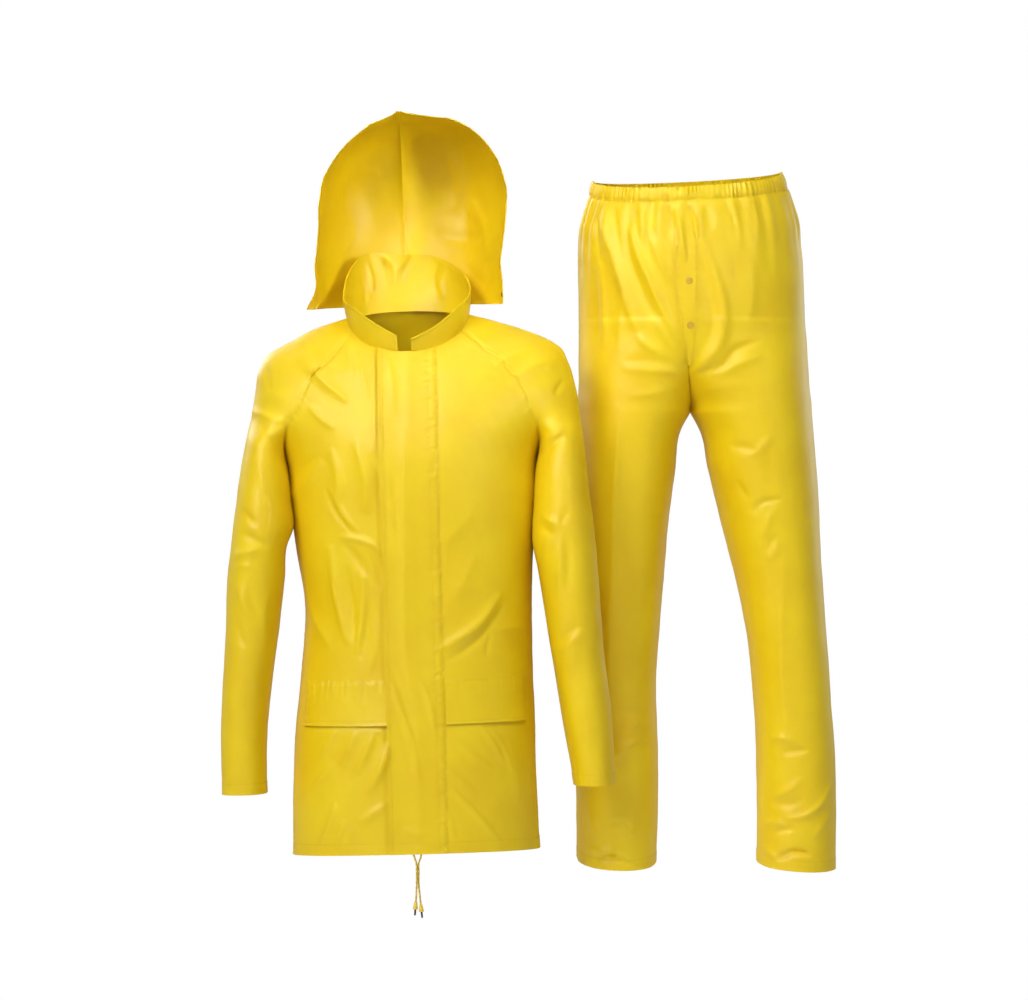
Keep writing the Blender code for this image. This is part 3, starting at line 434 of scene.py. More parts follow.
TROUSERS_FRONT = (
    Crease(4.6, 5.0, ((629, 226), (640, 258), (656, 294), (677, 340))),
    Crease(4.0, -3.0, ((627, 214), (628, 250), (642, 292), (660, 326))),
    Crease(4.4, 4.0, ((603, 226), (617, 270), (627, 302), (636, 332))),
    Crease(3.6, -2.2, ((613, 206), (617, 232), (622, 262))),
    Crease(3.0, 2.6, ((645, 224), (658, 256), (674, 288))),
    Crease(3.0, 2.0, ((656, 222), (668, 248), (676, 276))),
    Crease(2.6, 2.2, ((640, 206), (643, 222), (642, 244))),
    Crease(2.6, -2.0, ((636, 206), (636, 226), (640, 250))),
    Crease(2.4, -3.4, ((598, 204), (596, 224), (598, 240), (601, 264))),
    Crease(3.0, 2.4, ((605, 206), (604, 224), (608, 250))),
    Crease(3.6, 2.2, ((599, 262), (602, 300), (605, 350))),
    Crease(3.4, -1.6, ((595, 270), (597, 306), (599, 344))),
    Crease(3.6, 1.8, ((624, 292), (620, 320), (618, 352))),
    Crease(4.2, 2.6, ((636, 334), (646, 344), (660, 354))),
    Crease(3.6, 2.4, ((654, 316), (664, 334), (673, 350))),
    Crease(2.6, -3.2, ((671, 204), (672, 216), (674, 230))),
    Crease(3.4, 3.0, ((676, 212), (682, 236), (685, 262))),
    Crease(2.2, -3.6, ((690, 204), (694, 218), (697, 240))),
    Crease(2.8, 2.4, ((699, 206), (700, 222), (701, 246))),
    Crease(3.4, -2.4, ((704, 204), (708, 214), (712, 230))),
    Crease(2.0, -3.2, ((725, 203), (731, 212), (735, 226), (737, 244))),
    Crease(3.0, -1.8, ((751, 204), (752, 220), (755, 240))),
    Crease(5.2, 4.6, ((704, 238), (716, 276), (724, 318), (716, 350), (698, 368), (686, 375))),
    Crease(4.6, -2.6, ((704, 262), (710, 296), (711, 334), (702, 354))),
    Crease(4.2, -3.6, ((700, 373), (722, 366), (736, 350), (760, 341))),
    Crease(6.0, 2.4, ((714, 376), (738, 364), (764, 354))),
    Crease(4.6, -1.8, ((734, 250), (736, 266), (738, 284))),
    Crease(7.0, 2.2, ((746, 246), (752, 290), (748, 326))),
    Crease(5.0, 2.0, ((622, 368), (652, 370), (684, 374))),
    Crease(5.0, -1.6, ((622, 361), (650, 361), (676, 364))),
    Crease(6.0, 1.4, ((628, 396), (652, 394), (678, 386))),
    Crease(6.0, 1.2, ((700, 392), (722, 386), (748, 384))),
    Crease(5.6, 3.0, ((620, 420), (614, 510), (612, 580), (608, 660), (612, 740))),
    Crease(4.0, -1.6, ((624, 430), (620, 510), (617, 580))),
    Crease(3.0, -1.2, ((618, 600), (624, 608), (632, 618))),
    Crease(4.0, -2.2, ((616, 713), (628, 712), (644, 713))),
    Crease(4.0, 2.2, ((620, 725), (634, 724), (648, 720))),
    Crease(3.4, 3.6, ((613, 761), (622, 750), (640, 740))),
    Crease(3.0, -2.2, ((626, 751), (638, 744), (654, 738))),
    Crease(3.4, -2.6, ((610, 824), (620, 823), (631, 827))),
    Crease(3.6, 2.4, ((616, 834), (626, 832), (638, 836))),
    Crease(3.4, 2.6, ((590, 848), (604, 852), (616, 850))),
    Crease(2.8, -4.4, ((594, 860), (612, 857), (634, 863))),
    Crease(4.0, 2.0, ((588, 800), (594, 826), (600, 846))),
    Crease(3.0, 2.6, ((770, 436), (764, 446), (754, 457))),
    Crease(5.0, -2.2, ((731, 446), (742, 447), (756, 450))),
    Crease(3.4, -1.6, ((769, 446), (770, 464), (769, 486))),
    Crease(3.0, -1.6, ((737, 480), (742, 490), (748, 500))),
    Crease(2.6, -2.8, ((753, 514), (760, 504), (782, 499))),
    Crease(2.6, 2.6, ((777, 506), (770, 518), (762, 540))),
    Crease(2.4, -2.2, ((776, 534), (771, 542), (766, 554))),
    Crease(2.6, 1.8, ((780, 542), (775, 552), (769, 562))),
    Crease(5.0, 2.2, ((784, 556), (781, 640), (784, 700), (787, 736))),
    Crease(4.0, 2.8, ((770, 739), (780, 738), (794, 742))),
    Crease(3.4, -3.2, ((783, 753), (794, 751), (808, 750))),
    Crease(3.6, 2.2, ((774, 797), (788, 790), (804, 778))),
    Crease(5.0, -2.8, ((770, 803), (788, 804), (804, 800))),
    Crease(3.2, 3.2, ((786, 819), (806, 816), (822, 802), (832, 780))),
    Crease(3.0, 2.6, ((764, 824), (774, 823), (787, 827))),
    Crease(3.0, -2.6, ((775, 832), (783, 829), (794, 829))),
    Crease(3.0, 2.2, ((763, 846), (770, 852), (777, 860))),
    Crease(2.8, -4.8, ((776, 859), (792, 852), (814, 854))),
    Crease(3.4, 2.0, ((812, 838), (822, 826), (830, 812))),
)
TROUSERS_BEHIND = (
    Crease(7.0, 3.6, ((622, 300), (648, 334), (676, 364))),
    Crease(7.0, 3.6, ((764, 296), (736, 332), (704, 364))),
    Crease(5.0, -2.6, ((610, 330), (640, 360), (672, 384))),
    Crease(5.0, -2.6, ((776, 326), (744, 358), (708, 386))),
    Crease(4.0, 2.8, ((626, 208), (632, 244), (640, 292))),
    Crease(4.0, 2.6, ((660, 208), (664, 240), (668, 280))),
    Crease(4.0, 2.8, ((716, 206), (712, 240), (708, 284))),
    Crease(4.0, 2.4, ((752, 204), (750, 240), (744, 280))),
    Crease(3.0, -2.6, ((642, 206), (646, 226), (650, 256))),
    Crease(3.0, -2.6, ((734, 206), (730, 226), (726, 258))),
    Crease(6.0, -3.4, ((598, 534), (622, 548), (650, 556))),
    Crease(5.0, 3.0, ((596, 556), (620, 572), (652, 584))),
    Crease(5.0, 2.2, ((600, 586), (622, 606), (640, 634))),
    Crease(6.0, -3.4, ((808, 536), (780, 550), (752, 556))),
    Crease(5.0, 3.0, ((812, 560), (786, 576), (756, 586))),
    Crease(5.0, 2.2, ((810, 592), (790, 612), (774, 640))),
    Crease(4.0, 2.8, ((586, 726), (612, 736), (646, 734))),
    Crease(4.0, -2.6, ((588, 748), (616, 758), (648, 752))),
    Crease(4.0, 2.8, ((590, 800), (616, 812), (646, 806))),
    Crease(4.0, 2.8, ((826, 730), (798, 742), (766, 738))),
    Crease(4.0, -2.6, ((828, 752), (800, 764), (768, 758))),
    Crease(4.0, 2.8, ((828, 806), (800, 818), (768, 810))),
)

# Creases of the hood and of the collar's back, which the photograph shows from inside
HOOD_CREASES = (
    Crease(7.0, 3.0, ((330, 296), (344, 276), (358, 262))),
    Crease(8.0, -3.0, ((322, 206), (330, 236), (334, 268))),
    Crease(7.0, 2.6, ((334, 178), (352, 168), (374, 166))),
    Crease(6.0, -2.0, ((410, 128), (428, 126), (446, 140))),
    Crease(8.0, 3.6, ((452, 150), (464, 180), (456, 214))),
    Crease(7.0, -3.0, ((438, 236), (462, 240), (484, 236))),
    Crease(6.0, 2.6, ((470, 200), (484, 226), (488, 262))),
    Crease(6.0, -2.2, ((468, 266), (476, 280), (486, 286))),
    Crease(5.0, 2.0, ((340, 206), (346, 228), (344, 250))),
)
COLLAR_CREASES = (
    Crease(2.6, -2.4, ((381, 258), (387, 268), (390, 284))),
    Crease(2.6, -2.4, ((412, 256), (405, 268), (398, 284))),
    Crease(2.8, 2.0, ((386, 256), (393, 268), (395, 286))),
    Crease(3.0, 1.8, ((366, 262), (370, 276), (372, 292))),
    Crease(3.0, -1.8, ((440, 262), (434, 276), (438, 296))),
    Crease(2.6, 1.8, ((448, 268), (442, 280), (444, 300))),
    Crease(2.6, -1.6, ((360, 278), (364, 290), (364, 304))),
)


def power(value: Array) -> Array:
    """Signed power that squares off a circle's sine or cosine."""
    return np.sign(value) * np.abs(value) ** (2 / SQUARE)


def leaned(points: Array) -> Array:
    """Points of the upright jacket turned by its lean, about the neck."""
    x, z = points[..., 0], points[..., 2]
    across = x * cos(JACKET_LEAN) - z * sin(JACKET_LEAN)
    return np.stack([across, points[..., 1], x * sin(JACKET_LEAN) + z * cos(JACKET_LEAN)], axis=-1)


def photo_places(points: Array) -> Array:
    """Pixels of the photograph where points of the suit show.

    Args:
        points: points of the suit.

    Returns:
        Places across and down the photograph.
    """
    scale = PIXEL * (1 + points[..., 1] / CAMERA_DISTANCE)
    x = PHOTO_CENTRE[0] + (points[..., 0] - CAMERA_ACROSS) / scale
    y = PHOTO_CENTRE[1] - (points[..., 2] - CAMERA_HEIGHT) / scale
    return np.stack([x, y], axis=-1)


def crease_height(places: Array, creases: tuple[Crease, ...]) -> Array:
    """How far creases raise the cloth.

    Args:
        places: pixels of the photograph, one row each.
        creases: the creases that lie on this cloth.

    Returns:
        Heights in millimetres, negative in troughs.
    """
    raised = np.zeros(len(places))
    for crease in creases:
        line = crease.line()
        reach = 3 * crease.width
        near = np.all((places > line.min(0) - reach) & (places < line.max(0) + reach), axis=1)
        if not near.any():
            continue
        start, run = line[:-1], np.diff(line, axis=0)
        length = np.linalg.norm(run, axis=1)
        away = places[near][:, None] - start
        along = np.clip(np.einsum("nsk,sk->ns", away, run) / length**2, 0, 1)
        gap = np.linalg.norm(away - along[..., None] * run, axis=2)
        best = gap.argmin(1)
        each = np.arange(len(best))
        before = np.concatenate([[0.0], np.cumsum(length)[:-1]])
        way = (before[best] + along[each, best] * length[best]) / length.sum()
        taper = np.sin(pi * np.clip(way, 0.0, 1.0)).clip(0) ** 0.6
        width = crease.width * (0.55 + 0.45 * taper)
        raised[near] += crease.height * np.exp(-((gap[each, best] / width) ** 1.6)) * taper
    return raised


def uneven(along: Array, spacing: float, seed: int) -> Array:
    """An uneven wave along a line.

    Args:
        along: distances along the line.
        spacing: usual distance between its crests.
        seed: number that sets its unevenness.

    Returns:
        Values between about -1 and 1.
    """
    random = np.random.default_rng(seed)
    wave = np.zeros_like(along)
    for stretch, share in ((1.0, 0.5), (0.71, 0.3), (1.43, 0.35), (2.3, 0.3)):
        wave = wave + share * np.sin(2 * pi * along / (spacing * stretch) + random.uniform(0, 2 * pi))
    return wave


def rumple(points: Array, spacing: float, seed: int) -> Array:
    """Soft unevenness all over a surface.

    Args:
        points: points of the surface.
        spacing: usual distance between its crests.
        seed: number that sets its unevenness.

    Returns:
        Values between about -1 and 1.
    """
    random = np.random.default_rng(seed)
    wave = np.zeros(points.shape[:-1])
    for _ in range(7):
        direction = random.normal(size=3)
        direction *= 2 * pi / (spacing * random.uniform(0.7, 1.6)) / np.linalg.norm(direction)
        wave = wave + 0.38 * np.sin(points @ direction + random.uniform(0, 2 * pi))
    return wave


class EdgeKind(Enum):
    """How an edge of a cloth piece is made."""

    SEAM = "seam"
    STITCHED = "stitched seam"
    HEM = "hem"
    FREE = "free edge"
    PLAIN = "plain"


@dataclass(frozen=True)
class Edge:
    """One edge of a cloth piece: its kind, how wide its band is and where it is stitched."""

    kind: EdgeKind = EdgeKind.SEAM
    band: float = 0.0
    rows: tuple[float, ...] = ()
    pucker: float = 0.3
    lift: float = 0.0
    meets: bool = False

    def relief(self, away: Array, along: Array, seed: int) -> Array:
        """Relief that the edge gives the cloth beside it.

        Args:
            away: distances from the edge.
            along: distances along it.
            seed: number that sets its unevenness.

        Returns:
            Heights in millimetres.
        """
        if self.kind is EdgeKind.PLAIN:
            return np.zeros_like(away)
        raised = np.zeros_like(away)
        if self.kind in (EdgeKind.SEAM, EdgeKind.STITCHED):
            raised = raised - 1.2 * np.exp(-((away / 3.0) ** 2))
        if self.kind is EdgeKind.HEM:
            raised = raised + 0.55 / (1 + np.exp((away - self.band) / 0.7))
            raised = raised + 0.7 * uneven(along, 64, seed + 3) * np.exp(-away / 24)
        if self.kind is EdgeKind.FREE:
            raised = raised + self.lift * (0.75 + 0.35 * uneven(along, 120, seed + 5)) * np.exp(-away / 11)
        for row in self.rows:
            raised = raised - 0.45 * np.exp(-(((away - row) / 1.5) ** 2))
            raised = raised + self.pucker * uneven(along, 11, seed) * np.exp(-np.abs(away - row) / 5)
        return raised + 0.5 * self.pucker * uneven(along, 15, seed + 1) * np.exp(-away / 9)


NO_EDGE = Edge(EdgeKind.PLAIN)
PLAIN_SEAM = Edge(EdgeKind.SEAM)


class Facing(Enum):
    """Which way the cloth faces where creases lie on it."""

    FRONT = -1
    BEHIND = 1


@dataclass
class Cloth:
    """A grid of cloth on its form. Rows go down, and columns go round."""

    name: str
    points: Array
    normals: Array
    wall: float = CLOTH
    seed: int = 1
    seam: Array = field(default_factory=lambda: np.zeros(0))
    relief: Array = field(default_factory=lambda: np.zeros(0))

    @classmethod
    def on(cls, name: str, points: Array, wall: float = CLOTH, seed: int = 1) -> "Cloth":
        """Cloth on a form that is given with one spare column at either side.

        Args:
            name: the piece's name.
            points: the form, as rows, columns and coordinates.
            wall: thickness of the cloth.
            seed: number that sets its unevenness.

        Returns:
            The cloth, flat on the form.
        """
        across = np.gradient(points, axis=1)
        down = np.gradient(points, axis=0)
        normals = np.cross(across, down)
        normals /= np.maximum(np.linalg.norm(normals, axis=-1), 1e-9)[..., None]
        outward = np.sum((points - points.mean(axis=1, keepdims=True)) * normals)
        normals = normals if outward > 0 else -normals
        made = cls(name, points[:, 1:-1], normals[:, 1:-1], wall, seed)
        made.relief = np.zeros(made.points.shape[:2])
        return made

    def across(self) -> Array:
        """Distances along each row from its first column."""
        step = np.linalg.norm(np.diff(self.points, axis=1), axis=-1)
        return np.concatenate([np.zeros((len(step), 1)), np.cumsum(step, axis=1)], axis=1)

    def down(self) -> Array:
        """Distances down each column from its first row."""
        step = np.linalg.norm(np.diff(self.points, axis=0), axis=-1)
        return np.concatenate([np.zeros((1, step.shape[1])), np.cumsum(step, axis=0)], axis=0)

    def crease(self, creases: tuple[Crease, ...], facing: Facing, sign: float = 1.0) -> None:
        """Lays creases on the cloth that faces one way.

        Args:
            creases: the creases.
            facing: the side that they lie on.
            sign: -1 where the photograph shows the cloth from inside.
        """
        places = photo_places(self.points).reshape(-1, 2)
        turned = np.clip(facing.value * self.normals[..., 1], 0, 1) ** 0.5
        raised = CREASE_DEPTH * crease_height(places, creases).reshape(turned.shape)
        self.relief = self.relief + sign * raised * turned

    def edges(self, first: Edge = PLAIN_SEAM, last: Edge = PLAIN_SEAM, top: Edge = NO_EDGE,
              bottom: Edge = NO_EDGE) -> None:
        """Gives each edge of the cloth its relief.

        Args:
            first: the edge at the first column.
            last: the edge at the last column.
            top: the edge at the first row.
            bottom: the edge at the last row.
        """
        across, down = self.across(), self.down()
        self.relief = self.relief + first.relief(across, down, self.seed)
        self.relief = self.relief + last.relief(across[:, -1:] - across, down, self.seed + 11)
        self.relief = self.relief + top.relief(down, across, self.seed + 23)
        self.relief = self.relief + bottom.relief(down[-1:] - down, across, self.seed + 31)
        for edge, away in ((first, across), (last, across[:, -1:] - across)):
            if edge.meets:
                self.relief = self.relief * (1 - np.exp(-((away / 1.8) ** 2)))

    def loosen(self, broad: float = 0.55, fine: float = 0.16) -> None:
        """Adds the soft unevenness that loose cloth has all over."""
        self.relief = self.relief + broad * rumple(self.points, 95, 71) + fine * rumple(self.points, 27, 73)

    def surface(self) -> Array:
        """Outer surface of the cloth with its relief."""
        return self.points + self.relief[..., None] * self.normals

    def stitches(self, edge: str, inset: float, rows: slice = slice(None)) -> tuple[Array, Array]:
        """A line of stitching at a distance from one edge.

        Args:
            edge: first, last, top or bottom.
            inset: distance from that edge.
            rows: the rows or columns that the line crosses.

        Returns:
            Points and normals along the line.
        """
        surface, normals = self.surface(), self.normals
        if edge in ("top", "bottom"):
            surface, normals = surface.transpose(1, 0, 2), normals.transpose(1, 0, 2)
        if edge in ("last", "bottom"):
            surface, normals = surface[:, ::-1], normals[:, ::-1]
        surface, normals = surface[rows], normals[rows]
        step = np.linalg.norm(np.diff(surface, axis=1), axis=-1)
        way = np.concatenate([np.zeros((len(step), 1)), np.cumsum(step, axis=1)], axis=1)
        i = np.clip((way < inset).sum(axis=1) - 1, 0, way.shape[1] - 2)
        each = np.arange(len(way))
        share = ((inset - way[each, i]) / np.maximum(step[each, i], 1e-6)).clip(0, 1)[:, None]
        line = surface[each, i] * (1 - share) + surface[each, i + 1] * share
        return line, normals[each, i]

    def cut(self) -> tuple[tuple[float, float], float]:
        """Width, length and area that the piece is cut to, in metres."""
        width = self.across()[:, -1].max() * MM
        length = self.down()[-1].max() * MM
        a, b = np.diff(self.points, axis=1)[:-1], np.diff(self.points, axis=0)[:, :-1]
        area = np.linalg.norm(np.cross(a, b), axis=-1).sum() * MM * MM
        return (width, length), min(area, width * length)

    def build(self, closed: bool = False) -> bpy.types.Object:
        """The closed shell of the cloth as an object.

        Args:
            closed: whether its first and last columns meet where they are the same line.

        Returns:
            The object.
        """
        shut = np.linalg.norm(self.points[:, 0] - self.points[:, -1], axis=-1) < 1e-3
        shut &= closed
        for sizes in (self.points, self.normals, self.relief):
            sizes[shut, 0] = sizes[shut, -1] = (sizes[shut, 0] + sizes[shut, -1]) / 2
        outer = self.surface()
        inner = outer - self.wall * self.normals
        rows, columns = outer.shape[:2]
        index = np.arange(rows * columns).reshape(rows, columns)
        under = index + rows * columns
        quads = [ring_quads(index), ring_quads(under)[:, ::-1]]
        for edge, below in ((index[0], under[0]), (index[-1], under[-1])):
            quads.append(np.stack([edge[:-1], below[:-1], below[1:], edge[1:]], axis=1))
        for column in (0, -1):
            keep = ~(shut[:-1] & shut[1:])
            edge, below = index[:, column], under[:, column]
            quads.append(np.stack([edge[:-1], edge[1:], below[1:], below[:-1]], axis=1)[keep])
        quads = np.vstack(quads)
        vertices = np.vstack([outer.reshape(-1, 3), inner.reshape(-1, 3)]) * MM
        mesh = bpy.data.meshes.new(self.name)
        mesh.from_pydata(vertices.tolist(), [], quads.tolist())
        flat = np.stack([self.across(), self.down()], axis=-1).reshape(-1, 2) * MM
        loops = np.zeros(len(mesh.loops), int)
        mesh.loops.foreach_get("vertex_index", loops)
        mesh.uv_layers.new(name="cut").data.foreach_set("uv", np.tile(flat, (2, 1))[loops].ravel())
        return finish_mesh(mesh)


def ring_quads(index: Array) -> Array:
    """Four-sided faces between neighbouring rows and columns of a grid of vertices."""
    corners = (index[:-1, :-1], index[1:, :-1], index[1:, 1:], index[:-1, 1:])
    return np.stack([corner.ravel() for corner in corners], axis=1)


def finish_mesh(mesh: bpy.types.Mesh) -> bpy.types.Object:
    """Welds a mesh, turns its faces out, shades it smooth and links its object.

    Args:
        mesh: the mesh, in metres.

    Returns:
        The object, which bears the mesh's name.
    """
    bm = bmesh.new()
    bm.from_mesh(mesh)
    bmesh.ops.remove_doubles(bm, verts=bm.verts, dist=1e-5)
    bmesh.ops.recalc_face_normals(bm, faces=bm.faces)
    bm.to_mesh(mesh)
    bm.free()
    mesh.shade_smooth()
    mesh.set_sharp_from_angle(angle=radians(62))
    made = bpy.data.objects.new(mesh.name, mesh)
    bpy.context.scene.collection.objects.link(made)
    return made


def column_angles(first: Array, last: Array, count: int) -> Array:
    """Evenly spaced columns between two edges, with one spare column at either side."""
    steps = np.linspace(0, 1, count + 1)
    steps = np.concatenate([[-steps[1]], steps, [1 + steps[1]]])
    return first + (last - first) * steps


def heights_between(top: float, bottom: float, step: float) -> Array:
    """Evenly spaced heights from a top to a bottom."""
    return np.linspace(top, bottom, int(abs(top - bottom) / step) + 2)


class JacketForm:
    """The form of the jacket's body, sleeves and collar."""

    def ring(self, heights: Array, angles: Array) -> Array:
        """Points of the body: angle 0 at the wearer's right, 90 degrees in front.

        Args:
            heights: one height for each row.
            angles: angles for each row and column, in radians.

        Returns:
            Points of the upright jacket.
        """
        ring = JACKET.at(heights)
        centre, half = (ring["right"] - ring["left"]) / 2, (ring["right"] + ring["left"]) / 2
        x = centre - half * power(np.cos(angles))
        swing = power(np.sin(angles))
        y = np.where(swing > 0, -ring["front"] * swing, -ring["back"] * swing)
        return np.stack([x, y, self.height(ring, y)], axis=-1)

    def height(self, ring: dict[str, Array], y: Array) -> Array:
        """Heights over places from front to back, which dip in front and rise behind."""
        fore = np.clip(-y / ring["front"], 0, None) ** DIP_CURVE
        aft = np.clip(y / ring["back"], 0, None) ** DIP_CURVE
        return ring["height"] - ring["dip"] * fore + ring["rise"] * aft

    def angle_at(self, heights: Array, x: float) -> Array:
        """Angles on the front at a place across it."""
        ring = JACKET.at(heights)
        across = ((ring["right"] - ring["left"]) / 2 - x) / ((ring["right"] + ring["left"]) / 2)
        return np.arccos(np.sign(across) * np.abs(across) ** (SQUARE / 2))

    def seams(self, side: str, heights: Array) -> tuple[Array, Array]:
        """Angles of the front and the back seam of one armhole."""
        hole = ARMHOLE.at(heights)
        front, back = np.radians(hole["front_seam"]), np.radians(hole["back_seam"])
        return (front, -back) if side == "right" else (pi - front, pi + back)

    def sleeve(self, side: str, heights: Array, places: Array) -> Array:
        """Points of a sleeve: place -1 at its front seam, 0 at the outer edge, 1 at its back seam.

        Args:
            side: right or left.
            heights: one height for each row, falling.
            places: places of the columns.

        Returns:
            Points of the upright jacket.
        """
        sign = -1 if side == "right" else 1
        upper, lower = heights[heights > UNDERARM_HEIGHT], heights[heights <= UNDERARM_HEIGHT]
        sleeve = SLEEVE_RIGHT if side == "right" else SLEEVE_LEFT
        hole, size = ARMHOLE.at(upper), self.cap_sizes(side, sleeve, upper)
        edge = hole["right_edge" if side == "right" else "left_edge"]
        angle = np.radians(hole["reach"]) * places
        x = sign * (edge - np.where(angle < 0, size[:, :1], size[:, 1:2]) * (1 - power(np.cos(angle))))
        y = hole["middle"] + np.where(angle < 0, size[:, 2:3], size[:, 3:]) * power(np.sin(angle))
        cap = np.stack([x, y, self.height(JACKET.at(upper), y)], axis=-1)
        share = np.clip((np.abs(places) - 0.5) / 0.5, 0, 1.3)[None, :, None]
        share = share * share * (3 - 2 * np.minimum(share, 1.0))
        for way, angles in zip((-1, 1), self.seams(side, upper)):
            missed = self.ring(upper, angles) - cap[:, [1 if way < 0 else -2]]
            cap = cap + np.where((way * places > 0)[None, :, None], share * missed, 0.0)
        tube = sleeve.at(lower)
        angle = pi * places * np.ones_like(tube["outer"])
        swing = power(np.sin(angle))
        x = sign * (tube["outer"] - (tube["outer"] - tube["inner"]) / 2 * (1 - power(np.cos(angle))))
        y = tube["middle"] + np.where(swing < 0, tube["front"], tube["back"]) * swing
        arm = np.stack([x, y, tube["height"] * np.ones_like(x)], axis=-1)
        return np.concatenate([cap, arm], axis=0)

    def cap_sizes(self, side: str, sleeve: Table, heights: Array) -> Array:
        """Half widths and depths of a sleeve's cap, in front and behind.

        Args:
            side: right or left.
            sleeve: rings of the same sleeve below the underarm.
            heights: one height for each row, above the underarm.

        Returns:
            Four columns: both half widths, then both depths.
        """
        sign = -1 if side == "right" else 1
        knots = np.array([row[0] for row in ARMHOLE.rows[:-1]], float)
        hole = ARMHOLE.at(knots)
        edge = hole["right_edge" if side == "right" else "left_edge"]
        reach = np.radians(hole["reach"])
        seams = [self.ring(knots, angle)[:, 0] for angle in self.seams(side, knots)]
        spans = [(edge - sign * seam[:, :1]) / (1 - power(np.cos(reach))) for seam in seams]
        depths = [np.abs(seam[:, 1:2] - hole["middle"]) / power(np.sin(reach)) for seam in seams]
        tube = sleeve.at(np.array([UNDERARM_HEIGHT]))
        half = (tube["outer"] - tube["inner"]) / 2
        sizes = np.vstack([np.hstack(spans + depths), np.hstack([half, half, tube["front"], tube["back"]])])
        knots = np.append(knots, UNDERARM_HEIGHT)
        return curve_through(knots[::-1], sizes[::-1], heights)

    def collar(self, ups: Array, around: Array) -> Array:
        """Points of the collar.

        Args:
            ups: 0 to 1 up its height, one for each row.
            around: degrees round the neck from centre front, one for each column.

        Returns:
            Points of the upright jacket.
        """
        angle = (pi / 2 - np.radians(around))[None]
        neck = np.zeros(1)
        base = self.ring(neck, angle)
        ahead = self.ring(neck, angle + 0.01) - base
        out = np.stack([ahead[..., 1], -ahead[..., 0]], axis=-1)
        out /= np.linalg.norm(out, axis=-1)[..., None]
        stand = COLLAR.at(around)
        height, lean = stand["height"].T, stand["lean"].T
        ups = ups[:, None]
        away = lean * ups**COLLAR_CURVE + COLLAR_SWELL * height * np.sin(pi * ups)
        points = np.repeat(base, len(ups), axis=0)
        points[..., :2] += out * away[..., None]
        points[..., 2] += height * ups
        return points


class HoodForm:
    """The form of the hood, which stands up behind the collar."""

    def half(self, side: str, rows: Array, places: Array) -> Array:
        """Points of one half: place 0 at the centre seam and 1 at the rim.

        Args:
            side: right or left.
            rows: sections from the neck to the peak.
            places: places of the columns.

        Returns:
            Points of the upright jacket.
        """
        arch = HOOD.at(rows)
        edge = -arch["right"] if side == "right" else arch["left"]
        angle = places * pi / 2
        squash = 2 / arch["square"]
        x = HOOD_SEAM + (edge - HOOD_SEAM) * np.sign(angle) * np.abs(np.sin(angle)) ** squash
        back = np.sign(np.cos(angle)) * np.abs(np.cos(angle)) ** squash
        y = arch["rim_depth"] + (arch["seam_depth"] - arch["rim_depth"]) * back
        z = arch["rim_height"] + (arch["seam_height"] - arch["rim_height"]) * np.cos(angle)
        return np.stack([x, y, z], axis=-1)


